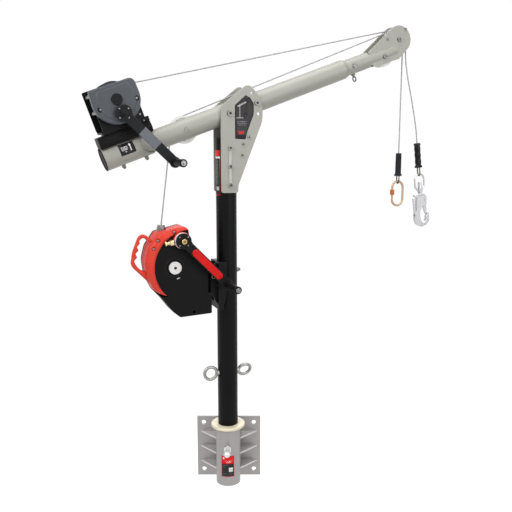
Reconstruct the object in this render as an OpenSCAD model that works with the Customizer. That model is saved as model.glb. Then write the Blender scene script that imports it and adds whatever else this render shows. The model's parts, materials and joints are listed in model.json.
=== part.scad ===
// Portable davit crane: a wall socket carries a swivelling mast with a luffing,
// telescopic boom, a hand winch on the boom and a retractable block on the mast.

/* [Wall socket] */
// Width and height of the square wall plate
plate_w = 252; // [200:1:320]
// Thickness of the wall plate
plate_t = 10; // [6:1:16]
// Spacing of the four anchor holes, both ways
anchor_pitch = 200; // [150:1:202]
// Diameter of an anchor hole
anchor_d = 18; // [10:0.5:24]
// Outer diameter of the socket tube
socket_d = 95; // [90:0.5:104]
// Length of the socket tube
socket_len = 232; // [200:1:280]
// Wall of the socket tube
socket_wall = 5.5; // [4:0.5:6.5]
// Height of a gusset pair above the next
gusset_pitch = 63; // [40:1:80]
// Thickness of a gusset
gusset_t = 6; // [3:0.5:12]
// Half the width of a gusset pair at the wall plate
gusset_reach = 112; // [80:1:120]
// Diameter of the nylon bush's flange
bush_flange_d = 130; // [110:1:150]
// Thickness of the nylon bush's flange
bush_flange_t = 11; // [5:0.5:20]
// Length of each nylon bush inside the socket
bush_len = 42; // [25:1:50]
// Diameter of the socket's locking bolt
lock_bolt_d = 16; // [10:0.5:20]

/* [Mast] */
// Outer diameter of the mast tube
mast_d = 76; // [70:0.5:80]
// Wall of the mast tube
mast_wall = 4; // [2:0.5:8]
// Height of the boom pivot above the middle of the wall plate
pivot_h = 1304; // [1150:1:1700]
// Heading of the boom, turned from the line along the wall
boom_yaw = 21.5; // [-60:0.5:60]
// Thickness of a head plate
head_plate_t = 8; // [5:0.5:12]
// Radius of the arc of angle holes about the pivot
lock_r = 109; // [100:1:114]
// Angle between one boom setting and the next
lock_step = 20; // [15:1:22]
// Diameter of the boom pivot bolt
pivot_d = 16; // [10:0.5:20]
// Height of the eye bolts above the middle of the wall plate
eye_h = 337; // [200:1:600]
// Inner diameter of an eye bolt's ring
eye_bore = 36; // [25:1:50]
// Thickness of an eye bolt's ring
eye_bar = 12; // [8:0.5:16]

/* [Boom] */
// Outer diameter of the outer boom tube
boom_d = 73; // [68:0.5:75]
// Wall of the outer boom tube
boom_wall = 4; // [2:0.5:5]
// Length of the outer boom ahead of the pivot
boom_front = 498; // [420:1:700]
// Length of the outer boom behind the pivot
boom_rear = 462; // [455:1:470]
// Room all round between the two boom tubes, which the guide collar fills
boom_gap = 2.35; // [1.5:0.05:3.5]
// Wall of the inner boom tube
inner_wall = 4; // [2:0.5:6]
// Length of inner boom that shows between the outer tube and the head
inner_show = 116; // [80:1:200]
// Length of inner boom hidden in the outer tube
inner_hidden = 368; // [250:1:370]
// Outer diameter of the guide sheave in the boom
guide_sheave_d = 98; // [84:1:100]
// Outer diameter of each head sheave
head_sheave_d = 88; // [74:1:90]
// Outer diameter of the roller under the head
idler_d = 74; // [60:1:76]
// Thickness of a head cheek plate
cheek_t = 5; // [3:0.5:8]
// Clear width between the head cheeks
head_gap = 42; // [38:0.5:43]

/* [Winch] */
// Radius of the winch cover's round part
cover_r = 80.5; // [78:0.5:90]
// Depth of the winch cover
cover_depth = 34; // [30:0.5:45]
// Width of the winch drum between its flanges
drum_w = 80; // [60:1:81]
// Radius of the rope's outer layer on the drum, to its middle
wound_r = 44; // [36:0.5:50]
// Diameter of the drum's flanges
drum_flange_d = 124; // [112:1:128]
// Tooth size of the winch gears (module)
gear_module = 1.75; // [1.5:0.05:1.8]
// Length of a crank arm between its axles
crank_len = 232; // [180:1:232]
// Width of a crank arm
crank_w = 33; // [20:1:36]
// Length of a crank grip
grip_len = 104; // [80:1:130]

/* [Rope and tackle] */
// Diameter of the wire ropes
rope_d = 5; // [4:0.1:6]
// Length of the winch rope's drop from the head to its sleeve
winch_drop = 430; // [250:1:600]
// Length of the rubber sleeve on the winch rope
sleeve_len = 92; // [60:1:120]
// Length of the hand grip on the block rope
handhold_len = 99; // [80:1:120]
// Height of the carabiner
carabiner_h = 107; // [98:1:130]
// Width of the carabiner
carabiner_w = 59; // [54:1:64]
// Bar diameter of the carabiner
carabiner_bar = 9.4; // [8:0.1:10]
// Bar diameter of the swivel eye
swivel_bar = 8; // [6:0.1:9]
// Thickness of the snap hook's body
hook_t = 16; // [13:0.5:20]

/* [Hidden] */

fine = 64;
// clearance of a running fit and of a seat, and the gap left between faces that don't touch
run = 0.1;
seat = 0.3;
anchor_holes = [[-1, -1], [1, -1], [1, 1], [-1, 1]] * anchor_pitch / 2;
mast_off = plate_t + bush_flange_d / 2 + 1;
mast_r = mast_d / 2;
socket_top = 118;
socket_bottom = socket_top - socket_len;
socket_bore = socket_d / 2 - socket_wall;
floor_t = 10;
mast_bottom = socket_bottom + floor_t + seat;
lock_bolt_h = 45;
lock_bolt_out = 44;

// the head plates, in the mast's frame: x ahead, y to the far side, z up from the pivot
plate_in = max(mast_d, boom_d + 3) / 2 + 0.4;
plate_out = plate_in + head_plate_t;
mast_top = -92;
strap_pitch = 66;
strap_z = [for (i = [0:2]) -121 - i * strap_pitch];
strap_t = 2.5;
head_bolt_r = 6;
spacer_at = [[72, -83], [50, -108], [46, -147]];
spacer_r = 7.5;
lock_bolt_r = 6;
plate_foot = -281;

// the boom, in its own frame: x along the boom, z square to it
boom_angle = lock_step;
boom_r = boom_d / 2;
inner_r = boom_r - boom_wall - boom_gap;
guide_at = -167;
guide_w = 12;
guide_rope_r = guide_sheave_d / 2 - 4;
sleeve_r = boom_r + 3.7;
sleeve_back = -boom_rear - 5;
sleeve_front = -335;
cap_t = 4;
collar_len = 13;
head_start = boom_front + inner_show;
head_axle_at = [head_start + 145, 33];
idler_at = [head_start + 62, -8];
cheek_r = head_sheave_d / 2 + 8;
head_rope_r = head_sheave_d / 2 - 4;
stop_at = boom_front + 41;
axle_r = 6;
lane = head_gap / 4;

// the winch, on the boom
drum_at = [-364, 172];
gear_teeth = 44;
pinion_teeth = 12;
pinion_at = drum_at + gear_module * (gear_teeth + pinion_teeth) / 2 * [cos(-86.5), sin(-86.5)];
drum_mid = 10;
near_plate = -42;
far_plate = drum_mid + (drum_mid - near_plate) - 4;
frame_t = 4;
shaft_r = 10;
pinion_shaft_r = 8;
cover_face = near_plate - cover_depth;
saddle_top = 74;
winch_crank_dir = -63.7;

// the block, in the mast's frame
drum_k = [-214, -538];
block_crank_at = [-188, -441];
block_crank_dir = -45.7;
block_far = 34;
block_split = 18;
block_near = -54;
cover_near = -62;
cavity_r = 87;
outlet_at = [-246, -412];
outlet_h = 22;
pin_at = [-62, -572];
knob_w = -71.5;
knob_turn = 188;

function unit(v) = v / norm(v);
function turned(v, a) = [v[0] * cos(a) - v[1] * sin(a), v[0] * sin(a) + v[1] * cos(a)];
function flat(list) = [for (part = list) for (item = part) item];
function arc(centre, r, from, to, steps = 16) =
    [for (i = [0:steps]) centre + r * [cos(from + (to - from) * i / steps), sin(from + (to - from) * i / steps)]];

// one corner of an outline, rounded by an arc that meets both of its sides
function rounded_corner(before, at, after, r, steps = 5) =
    let (u = unit(before - at), v = unit(after - at), half = acos(u * v) / 2)
    let (centre = at + unit(u + v) * r / sin(half))
    let (start = at + u * r / tan(half) - centre, end = at + v * r / tan(half) - centre)
    let (from = atan2(start[1], start[0]), turn = atan2(start[0] * end[1] - start[1] * end[0], start * end))
    arc(centre, r, from, from + turn, steps);
function outline(corners) = let (n = len(corners)) flat([for (i = [0:n - 1])
    let (p = corners[(i + n - 1) % n], c = corners[i], q = corners[(i + 1) % n])
    rounded_corner([p[0], p[1]], [c[0], c[1]], [q[0], q[1]], c[2])]);

// places in the three frames
module at_mast() { translate([0, -mast_off, 0]) children(); }
module heading() { translate([0, -mast_off, pivot_h]) rotate([0, 0, boom_yaw]) children(); }
module boom() { heading() rotate([0, -boom_angle, 0]) children(); }

// a pin across the object from w0 to w1, at a place in the upright plane
module across(at, w0, w1, r, far_r = -1) {
    translate([at[0], w0, at[1]]) rotate([-90, 0, 0])
        cylinder(h = w1 - w0, r1 = r, r2 = far_r < 0 ? r : far_r, $fn = fine);
}
module slab(w0, w1) { translate([0, w1, 0]) rotate([90, 0, 0]) linear_extrude(height = w1 - w0) children(); }
module along(x0, x1, r, r2 = -1) {
    translate([x0, 0, 0]) rotate([0, 90, 0]) cylinder(h = x1 - x0, r1 = r, r2 = r2 < 0 ? r : r2, $fn = fine);
}
module pipe(x0, x1, r, bore) { difference() { along(x0, x1, r); along(x0 - 1, x1 + 1, bore); } }
module hex(h, r) { cylinder(h = h, r = r, $fn = 6); }

// a dome nut that stands on z = 0
module dome_nut(r) {
    hex(r * 0.9, r);
    rotate_extrude($fn = fine) polygon(concat([[0, 0], [r * 0.84, 0]], arc([0, r * 0.9], r * 0.84, 0, 90, 8)));
}

// a socket-head screw whose head stands on z = 0
module cap_head(r, h) {
    difference() { cylinder(h = h, r = r, $fn = fine); translate([0, 0, h * 0.45]) hex(h, r * 0.5); }
}

module wall_plate() color("silver") {
    difference() {
        slab(-plate_t, 0) square(plate_w, center = true);
        for (p = anchor_holes) across(p, -plate_t - 1, 1, anchor_d / 2);
    }
}

// the socket, closed below but for a drain, with the locking bolt's boss on its front
module socket_tube() color("silver") at_mast() {
    difference() {
        union() {
            translate([0, 0, socket_bottom]) cylinder(h = socket_len, r = socket_d / 2, $fn = fine);
            translate([0, -socket_d / 2 + 4, lock_bolt_h]) rotate([90, 0, 0])
                hex(lock_bolt_d * 0.9, lock_bolt_d * 0.88);
        }
        translate([0, 0, socket_bottom + floor_t]) cylinder(h = socket_len, r = socket_bore, $fn = fine);
        translate([0, 0, socket_bottom - 1]) cylinder(h = floor_t + 2, r = 10, $fn = fine);
        across([0, lock_bolt_h], -socket_d, 0, lock_bolt_d / 2 + run);
    }
}

module gussets() color("silver") at_mast() {
    plate_face = mast_off - plate_t;
    for (level = [-1:1], side = [-1, 1])
        translate([0, 0, level * gusset_pitch - gusset_t / 2]) difference() {
            linear_extrude(height = gusset_t) polygon([[side * gusset_reach, plate_face],
                [side * socket_d / 2, 0], [side * socket_d / 4, 0], [side * socket_d / 4, plate_face]]);
            translate([0, 0, -1]) cylinder(h = gusset_t + 2, r = socket_d / 2, $fn = fine);
        }
}

module upper_bush() color("cornsilk") at_mast() {
    edge = 3;
    rotate_extrude($fn = fine) polygon(concat(
        [[mast_r + run, socket_top - bush_len], [socket_bore - run, socket_top - bush_len],
         [socket_bore - run, socket_top]],
        [[bush_flange_d / 2 - edge, socket_top]],
        arc([bush_flange_d / 2 - edge, socket_top + bush_flange_t - edge], edge, 0, 90, 5),
        [[mast_r + run, socket_top + bush_flange_t]]));
}

module lower_bush() color("cornsilk") at_mast() translate([0, 0, mast_bottom]) {
    difference() {
        cylinder(h = bush_len, r = socket_bore - run, $fn = fine);
        translate([0, 0, -1]) cylinder(h = bush_len + 2, r = mast_r + run, $fn = fine);
    }
}

module lock_bolt() color("gainsboro") at_mast() {
    head_y = -socket_d / 2 - lock_bolt_out;
    across([0, lock_bolt_h], head_y, -mast_r - seat, lock_bolt_d / 2);
    translate([0, head_y, lock_bolt_h]) rotate([90, 0, 0]) dome_nut(lock_bolt_d * 0.85);
}

module mast_tube() color("#1c1c1e") at_mast() {
    difference() {
        translate([0, 0, mast_bottom]) cylinder(h = pivot_h + mast_top - mast_bottom, r = mast_r, $fn = fine);
        translate([0, 0, mast_bottom - 1])
            cylinder(h = pivot_h + mast_top - mast_bottom + 2, r = mast_r - mast_wall, $fn = fine);
        translate([0, 0, pivot_h]) rotate([0, 0, boom_yaw]) {
            for (z = strap_z) across([0, z], -mast_d, mast_d, head_bolt_r + run);
            translate([0, 0, pin_at[1]]) along(-mast_d, mast_d, head_bolt_r + run);
        }
        translate([0, 0, eye_h]) rotate([0, 0, boom_yaw]) along(-mast_d, mast_d, eye_bar / 2 - 0.8 + run);
    }
}

module mast_plug() color("#2a2a2c") heading() {
    translate([0, 0, mast_top]) cylinder(h = 6, r = mast_r, $fn = fine);
    translate([0, 0, mast_top - 14]) cylinder(h = 14, r = mast_r - mast_wall - run, $fn = fine);
}

// a head plate's outline: a straight back, a foot on the mast and an arc about the pivot
module head_plate(w0) {
    fan_r = lock_r + 16;
    rounded_back = rounded_corner([71, 106], [-33, 24], [-33, plate_foot], 24);
    difference() {
        slab(w0, w0 + head_plate_t) polygon(concat(
            arc([0, 0], fan_r, -18, 42, 14),
            rounded_corner([110, 62], [71, 106], [-33, 24], 22, 7),
            rounded_back,
            rounded_corner([-33, 0], [-33, plate_foot], [31, plate_foot], 9),
            rounded_corner([-33, plate_foot], [31, plate_foot], [31, -255], 9),
            rounded_corner([31, plate_foot], [31, -255], [117, -40], 30)));
        for (step = [0:2])
            across(lock_r * [cos(step * lock_step), sin(step * lock_step)], w0 - 1, w0 + 20, lock_bolt_r + run);
        across([0, 0], w0 - 1, w0 + 20, pivot_d / 2 + run);
        for (z = strap_z) across([0, z], w0 - 1, w0 + 20, head_bolt_r + run);
        for (p = spacer_at) across(p, w0 - 1, w0 + 20, spacer_r - 3);
    }
}
module head_plates() color("#a9a99f") heading() for (w = [-plate_out, plate_in]) head_plate(w);

// a strap of three round pads joined by a bar, on each plate
module head_straps() color("#c9c8be") heading() {
    for (w = [-plate_out - strap_t, plate_out]) difference() {
        union() {
            slab(w, w + strap_t) translate([-5, strap_z[2]]) square([10, strap_z[0] - strap_z[2]]);
            for (z = strap_z) across([0, z], w, w + strap_t, 10);
        }
        for (z = strap_z) across([0, z], w - 1, w + strap_t + 1, head_bolt_r + run);
    }
}

// the strap bolts, the spacers ahead of the boom's heel, and the angle bolt's two ends,
// each in its own plate and clear of the boom that swings between them
module head_bolts() color("gainsboro") heading() {
    face = plate_out + strap_t;
    for (z = strap_z) {
        across([0, z], -face, face, head_bolt_r);
        translate([0, -face, z]) rotate([90, 0, 0]) cap_head(8, 5);
        translate([0, face, z]) rotate([-90, 0, 0]) hex(7, 9);
    }
    for (p = spacer_at) {
        across(p, -plate_in, plate_in, spacer_r);
        across(p, -plate_out, plate_out, spacer_r - 3 - run);
        for (side = [-1, 1]) translate([p[0], side * plate_out, p[1]]) rotate([side * -90, 0, 0])
            cap_head(spacer_r - 1.2, 3);
    }
    at = lock_r * [cos(boom_angle), sin(boom_angle)];
    across(at, -plate_out, -plate_in, lock_bolt_r);
    across(at, plate_in, plate_out, lock_bolt_r);
    translate([at[0], -plate_out, at[1]]) rotate([90, 0, 0]) cap_head(9.5, 6);
    translate([at[0], plate_out, at[1]]) rotate([-90, 0, 0]) hex(8, 10);
}

module pivot_bolt() color("gainsboro") heading() {
    across([0, 0], -plate_out, plate_out, pivot_d / 2);
    translate([0, -plate_out, 0]) rotate([90, 0, 0]) cap_head(pivot_d * 0.62, 6);
    translate([0, plate_out, 0]) rotate([-90, 0, 0]) hex(10, pivot_d * 0.75);
}

// a forged ring on a shank that goes through the mast's wall along x
module eye_bolt(side, lean) {
    ring_r = eye_bore / 2 + eye_bar / 2;
    collar = 6;
    ring_at = mast_r + collar + ring_r;
    translate([0, 0, eye_h - pivot_h]) {
        translate([side * ring_at, 0, 0]) rotate([lean, 0, 0]) rotate([90, 0, 0])
            rotate_extrude($fn = 40) translate([ring_r, 0]) circle(r = eye_bar / 2, $fn = 20);
        rotate([0, side < 0 ? 180 : 0, 0]) {
            along(mast_r - mast_wall - 8, ring_at - ring_r, eye_bar / 2 - 0.8);
            difference() {
                along(mast_r - 3, mast_r + collar, eye_bar);
                cylinder(h = 60, r = mast_r + run, center = true, $fn = fine);
            }
        }
    }
}
module eye_bolts() color("gainsboro") heading() {
    eye_bolt(-1, 0);
    eye_bolt(1, 22);
}

// a saddle on the mast with two ears that take the block's lug between them
module block_bracket() color("#202022") heading() {
    ear_in = 20;
    difference() {
        union() {
            slab(-46, 46) polygon(outline([[-48, -533, 3], [-16, -533, 3], [-16, -640, 8],
                [-30, -712, 6], [-48, -712, 3]]));
            for (w = [-ear_in - 10, ear_in]) slab(w, w + 10) polygon(outline([[-74, -550, 10],
                [-44, -533.5, 2], [-44, -700, 2], [-74, -640, 10]]));
        }
        translate([0, 0, -760]) cylinder(h = 260, r = mast_r + 0.1, $fn = fine);
        across(pin_at, -60, 60, 5 + run);
        translate([-90, 0, pin_at[1]]) along(20, 80, head_bolt_r + run);
    }
}

module bracket_bolt() color("gainsboro") heading() translate([0, 0, pin_at[1]]) {
    along(-50, mast_r + 3.5, head_bolt_r);
    difference() {
        along(mast_r - 2, mast_r + 3, 10);
        cylinder(h = 60, r = mast_r + run, center = true, $fn = fine);
    }
    translate([mast_r + 3, 0, 0]) rotate([0, 90, 0]) dome_nut(7.5);
}

// the quick pin that holds the block on its bracket, with its pull ring
module release_pin() color("silver") heading() {
    across(pin_at, -36, 34, 5);
    across(pin_at, -42, -30 - seat, 9);
    translate([pin_at[0], -40, pin_at[1] - 9]) rotate([12, 0, 20]) rotate([90, 0, 0])
        rotate_extrude($fn = 28) translate([11, 0]) circle(r = 1.4, $fn = 14);
}

block_outline = outline([[-163, -390, 16], [-270, -414, 14], [-304, -462, 34], [-317, -512, 60],
    [-309, -572, 50], [-285, -622, 40], [-250, -662, 20], [-222, -700, 12], [-196, -722, 14],
    [-77, -717, 4], [-76, -600, 30], [-90, -512, 14], [-130, -478, 14], [-163, -428, 12]]);
// the black front lies inside this circle and in the foot, and the red cover outside them
front_c = [-150, -540];
front_r = 136;
module front_zone(grow) {
    translate(front_c) circle(r = front_r + grow, $fn = fine);
    translate([-262 - grow, -740]) square([280, 96 + grow]);
}

module block_hollow() across(drum_k, -44, 26, cavity_r);
// the plunger that locks the crank lies along the case's front and points at the crank's hub
module at_knob() translate([block_crank_at[0], knob_w, block_crank_at[1]]) rotate([0, -knob_turn, 0])
    children();
module block_holes() {
    across(drum_k, -80, 80, shaft_r + run);
    across(block_crank_at, -80, -20, pinion_shaft_r + run);
    across([-144, -706], -80, 80, 6);
    translate([outlet_at[0], 0, outlet_at[1]]) cylinder(h = 60, r = 16 + run, $fn = fine);
}

module block_case() color("#1d1d1f") heading() {
    difference() {
        union() {
            slab(block_split, block_far) polygon(block_outline);
            intersection() {
                slab(block_near, block_split + 1) polygon(block_outline);
                slab(block_near - 1, block_split + 1) front_zone(0);
            }
            slab(-20 + seat, 20 - seat) polygon(outline([[-90, -545, 4], [-52, -552, 8], [-52, -592, 8],
                [-90, -640, 4]]));
            across(drum_k, block_near - 3, block_split, 34);
            at_knob() translate([32, -8, -8]) cube([14, 26.5, 16]);
        }
        across(drum_k, block_near - 4, block_near + 1, 27);
        slab(-100, -20) translate([-92, -642]) square([60, 100]);
        block_hollow();
        block_holes();
        at_knob() along(30, 48, 4 + run);
        across(pin_at, -60, 60, 5 + run);
    }
}

module block_cover() color("#e2452f") heading() {
    difference() {
        slab(cover_near, block_split - run) polygon(block_outline);
        slab(cover_near - 1, block_split + 1) front_zone(seat);
        block_hollow();
        block_holes();
        // moulded recesses of the two cover screws
        for (p = [[-272, -440], [-287, -468]]) across(p, cover_near - 1, cover_near + 6, 5.5);
    }
}

// a D handle with scallops for the fingers, cut where it meets the cover
module block_handle() color("#e2452f") heading() {
    fingers = 4;
    hole_top = -452;
    hole_bottom = -548;
    grip_edge = [for (i = [0:24]) let (t = i / 24)
        [-344 + 10.8 * (2 * t - 1) * (2 * t - 1) - 2.4 * cos(360 * fingers * t),
         hole_top + (hole_bottom - hole_top) * t]];
    difference() {
        slab(-34, -12) polygon(outline([[-262, -440, 4], [-307, -418, 14], [-331, -424, 12], [-352, -470, 40],
            [-363, -522, 16], [-358, -538, 10], [-310, -582, 6], [-280, -590, 4]]));
        slab(-40, 0) polygon(concat([[-312, -432], [-324, -437]], grip_edge, [[-324, -556], [-280, -600],
            [-280, -452]]));
        slab(-40, 0) polygon(block_outline);
    }
}

module block_outlet() color("silver") heading() translate([outlet_at[0], 0, outlet_at[1]]) {
    difference() {
        union() {
            cylinder(h = 14, r = 16, $fn = fine);
            translate([0, 0, 12]) hex(outlet_h - 12, 14);
        }
        translate([0, 0, outlet_h - rope_seat]) cylinder(h = 40, r = rope_d / 2 + 1.5, $fn = fine);
    }
}
rope_seat = 9;

// the block's drum, with the pale boss of its shaft in the middle of the front
module block_drum() color("slategray") heading() {
    rope_layer_r = 72;
    flange_r = 82;
    flange_t = 4;
    across(drum_k, block_near - 6, block_far - 2, shaft_r);
    difference() {
        across(drum_k, block_near - 14, block_near - 5, 22.5);
        across(drum_k, block_near - 15, block_near - 12, 5);
    }
    across(drum_k, -31, 15, rope_layer_r);
    for (w = [-34, 14]) across(drum_k, w, w + flange_t, flange_r);
}

// a crank arm lying from its hub at the origin along x, with its drive shaft behind
module crank(shaft_len) {
    hub_r = 28;
    lobe_r = 19;
    thick = 6;
    slab(-thick, 0) translate([0, -crank_w / 2]) square([crank_len, crank_w]);
    across([0, 0], -thick, 0, hub_r);
    across([crank_len, 0], -thick, 0, lobe_r);
    across([0, 0], -1, shaft_len, pinion_shaft_r);
    across([0, 0], 0, 6, 20);
    translate([0, -thick, 0]) rotate([90, 0, 0]) hex(7, 12);
    across([0, 0], -thick - 12, -thick - 6, 5);
    for (a = [0:90:270]) across(21 * way(a), -thick - 1.2, -thick + 0.5, 2.2);
    // the grip's axle, with its screw head in the end of the grip
    across([crank_len, 0], -thick - grip_len, 0, 5);
    across([crank_len, 0], -thick - grip_len - 3, -thick - grip_len, 8);
}
// a round grip with a swollen middle and a rim at each end
module crank_grip() {
    start = 6.4;
    end = 6 + grip_len - 0.4;
    translate([crank_len, 0, 0]) rotate([90, 0, 0]) rotate_extrude($fn = fine) polygon(concat(
        [[5 + run, start], [12, start], [12, start + 5]],
        [for (i = [1:11]) [10.6 + 2 * sin(180 * i / 12), start + 5 + (end - start - 12) * i / 12]],
        [[13.5, end - 7], [13.5, end], [5 + run, end]]));
}

module place_block_crank() heading() translate([block_crank_at[0], -86, block_crank_at[1]])
    rotate([0, -block_crank_dir, 0]) children();
module block_crank() color("#202023") place_block_crank() crank(86 - 30);
module block_crank_grip() color("#18181a") place_block_crank() crank_grip();

// the brass knob that puts the crank in gear
module block_knob() color("#c8a050") heading() at_knob() {
    along(33, 58, 4);
    along(50, 53, 6.5);
    along(56.5, 58, 7, 8.5);
    along(58, 62, 8.5);
    along(62, 63, 8.5, 7.5);
}

module boom_slot(from, to, below) {
    translate([from, -guide_w / 2 - 1.5, below ? -boom_d : 0]) cube([to - from, guide_w + 3, boom_d]);
}
slot_half = sqrt(pow(guide_sheave_d / 2, 2) - pow(boom_r - boom_wall - 1.5, 2)) + 1;
clamp_at = [-410, -325];
clamp_r = 5;

// the outer tube with its welded cross bushes for the pivot and for the angle bolt
module boom_tube() color("#b4b3a9") boom() {
    difference() {
        union() {
            pipe(-boom_rear, boom_front, boom_r, boom_r - boom_wall);
            across([0, 0], -plate_in + run, plate_in - run, pivot_d / 2 + 6);
            across([lock_r, 0], -plate_in + seat, plate_in - seat, lock_bolt_r + 5);
        }
        across([0, 0], -boom_d, boom_d, pivot_d / 2 + run);
        across([lock_r, 0], -boom_d, boom_d, lock_bolt_r + run);
        across([guide_at, 0], -boom_d, boom_d, axle_r + run);
        boom_slot(guide_at - slot_half, guide_at + slot_half, false);
        boom_slot(guide_at - slot_half - 41, guide_at + slot_half, true);
        for (x = clamp_at) translate([x, 0, -boom_d]) cylinder(h = boom_d * 2, r = clamp_r + run, $fn = fine);
    }
}

// the sleeve that stiffens the boom's rear, longer below than above
module rear_sleeve() color("#b4b3a9") boom() {
    difference() {
        pipe(sleeve_back, sleeve_front + 40, sleeve_r, boom_r + run);
        slab(-60, 60) polygon(concat([[sleeve_front, 60], [sleeve_front, -4]],
            arc([sleeve_front + 40, 6], 40, 195, 262, 8), [[sleeve_front + 60, -33], [sleeve_front + 60, 60]]));
        for (x = clamp_at) translate([x, 0, -boom_d]) cylinder(h = boom_d * 2, r = clamp_r + run, $fn = fine);
    }
}

module rear_cap() color("#232325") boom() {
    difference() {
        union() {
            along(sleeve_back - cap_t, sleeve_back, sleeve_r);
            along(sleeve_back - 1, -boom_rear - run, boom_r);
            along(-boom_rear - 1, -boom_rear + 20, boom_r - boom_wall - run);
        }
        along(sleeve_back - cap_t - 1, sleeve_back - cap_t + 3, sleeve_r - 4);
        along(-boom_rear, -boom_rear + 30, boom_r - boom_wall - 3);
    }
    for (z = [-24:8:24]) translate([sleeve_back - cap_t + 1, -sqrt(32 * 32 - z * z), z - 1.5])
        cube([2.5, 2 * sqrt(32 * 32 - z * z), 3]);
}

// the tapered collar at the outer tube's mouth, which guides the inner boom
module boom_collar() color("#9f9e95") boom() {
    difference() {
        union() {
            along(boom_front, boom_front + collar_len, boom_r, inner_r + 2);
            along(boom_front - 40, boom_front + 1, boom_r - boom_wall - run);
        }
        along(boom_front - 41, boom_front + collar_len + 1, inner_r + run);
    }
}

// half the section of a grooved wheel, for rotate_extrude: bore, rim, rope groove
module sheave(at, w, width, outer, rope_r, bore) {
    groove = rope_d / 2 + 0.2;
    side = width / 2;
    translate([at[0], w, at[1]]) rotate([90, 0, 0]) rotate_extrude($fn = fine) polygon(concat(
        [[bore, -side], [bore + 8, -side], [bore + 10, -side + 2], [rope_r - 6, -side + 2], [rope_r - 4, -side],
         [outer, -side], [outer, -side + 1]],
        arc([rope_r, 0], groove, -90, -270, 8),
        [[outer, side - 1], [outer, side], [rope_r - 4, side], [rope_r - 6, side - 2], [bore + 10, side - 2],
         [bore + 8, side], [bore, side]]));
}

module guide_sheave() color("white") boom() difference() {
    sheave([guide_at, 0], 0, guide_w, guide_sheave_d / 2, guide_rope_r, axle_r + run);
    for (a = [0:60:300]) across([guide_at, 0] + 27 * [cos(a), sin(a)], -20, 20, 7);
}

module guide_axle() color("gainsboro") boom() {
    difference() {
        across([guide_at, 0], -boom_r - 1, boom_r + 1, axle_r);
        across([guide_at, 0], -boom_r - 2, -boom_r, 3);
    }
    for (w = [-boom_r - 1.5, boom_r + 0.2]) across([guide_at, 0], w, w + 1.3, axle_r + 2);
    // spacers that keep the sheave in the middle of the boom
    for (side = [-1, 1]) difference() {
        across([guide_at, 0], side > 0 ? guide_w / 2 + seat : -boom_r + boom_wall + 2.5,
            side > 0 ? boom_r - boom_wall - 2.5 : -guide_w / 2 - seat, axle_r + 4);
        across([guide_at, 0], -boom_r, boom_r, axle_r + run);
    }
}

// the saddle clamped on the sleeve, its two bolts and the guide block ahead of the winch
module saddle() color("#202022") boom() {
    length = 190;
    start = -466;
    difference() {
        translate([start, 0, 0]) rotate([90, 0, 90]) linear_extrude(height = length) polygon([[-32, 34],
            [32, 34], [38, 46], [38, 54], [30, saddle_top], [-30, saddle_top], [-38, 54], [-38, 46]]);
        along(start - 1, start + length + 1, sleeve_r + run);
        for (x = clamp_at) translate([x, 0, 0]) cylinder(h = saddle_top + 1, r = clamp_r + run, $fn = fine);
        translate([start + 30, -39, saddle_top - 14]) cube([110, 8, 20]);
    }
    translate([-288, -36, saddle_top - 1]) cube([12, 30, 15]);
}

module winch_frame() color("#1b1b1d") boom() {
    base = saddle_top + 6;
    difference() {
        union() {
            translate([-446, near_plate, base]) cube([156, far_plate + frame_t - near_plate, 6]);
            slab(near_plate, near_plate + frame_t) polygon(outline([[-440, base, 3], [-290, base, 3],
                [-290, 205, 24], [-312, 218, 10], [-440, 218, 6]]));
            slab(far_plate, far_plate + frame_t) polygon(outline([[-447, 92, 4], [-442, base, 3],
                [-288, base, 3], [-288, 200, 30], [-310, 228, 12], [-445, 228, 5]]));
            // the pad that brings the frame down onto the saddle
            translate([-440, -28, saddle_top]) cube([146, 56, base - saddle_top]);
        }
        across(drum_at, near_plate - 1, far_plate + 20, shaft_r + run);
        across(pinion_at, near_plate - 1, near_plate + 20, pinion_shaft_r + run);
        for (p = stud_at) across(p, near_plate - 1, far_plate + 20, stud_bore);
        for (x = clamp_at) translate([x, 0, 0]) cylinder(h = base + 20, r = clamp_r + run, $fn = fine);
    }
}

stud_at = [[-433, 208], [-434, 152], [-302, 102]];
stud_bore = 4;
// standoffs between the frame's plates, the cover's screws and the saddle's clamp bolts
module winch_studs() color("gainsboro") boom() {
    for (p = stud_at) {
        across(p, near_plate + frame_t, far_plate, 7);
        across(p, near_plate, far_plate + frame_t, stud_bore - run);
        translate([p[0], far_plate + frame_t, p[1]]) rotate([-90, 0, 0]) hex(4, 7);
    }
    for (x = clamp_at) {
        translate([x, 0, -sleeve_r]) cylinder(h = sleeve_r + saddle_top + 12, r = clamp_r, $fn = fine);
        translate([x, 0, saddle_top + 12]) hex(6, 8);
        translate([x, 0, -sleeve_r - 1]) rotate([180, 0, 0]) dome_nut(7.5);
        difference() {
            translate([x, 0, -sleeve_r - 1]) cylinder(h = 6, r = 8, $fn = fine);
            along(x - 20, x + 20, sleeve_r + run);
        }
    }
}

cover_screw_at = [[-301, 155], [-426, 158]];
module cover_shape(inset) {
    r = cover_r - inset;
    top = 224 - inset;
    polygon(concat(arc(drum_at, r, 180, 360, 24),
        rounded_corner(drum_at + [r, 0], [drum_at[0] + r - 2, top], [drum_at[0], top], 20 - inset),
        rounded_corner([drum_at[0], top], [drum_at[0] - r + 4, top], drum_at - [r, 0], 7 - inset / 2)));
}
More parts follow.
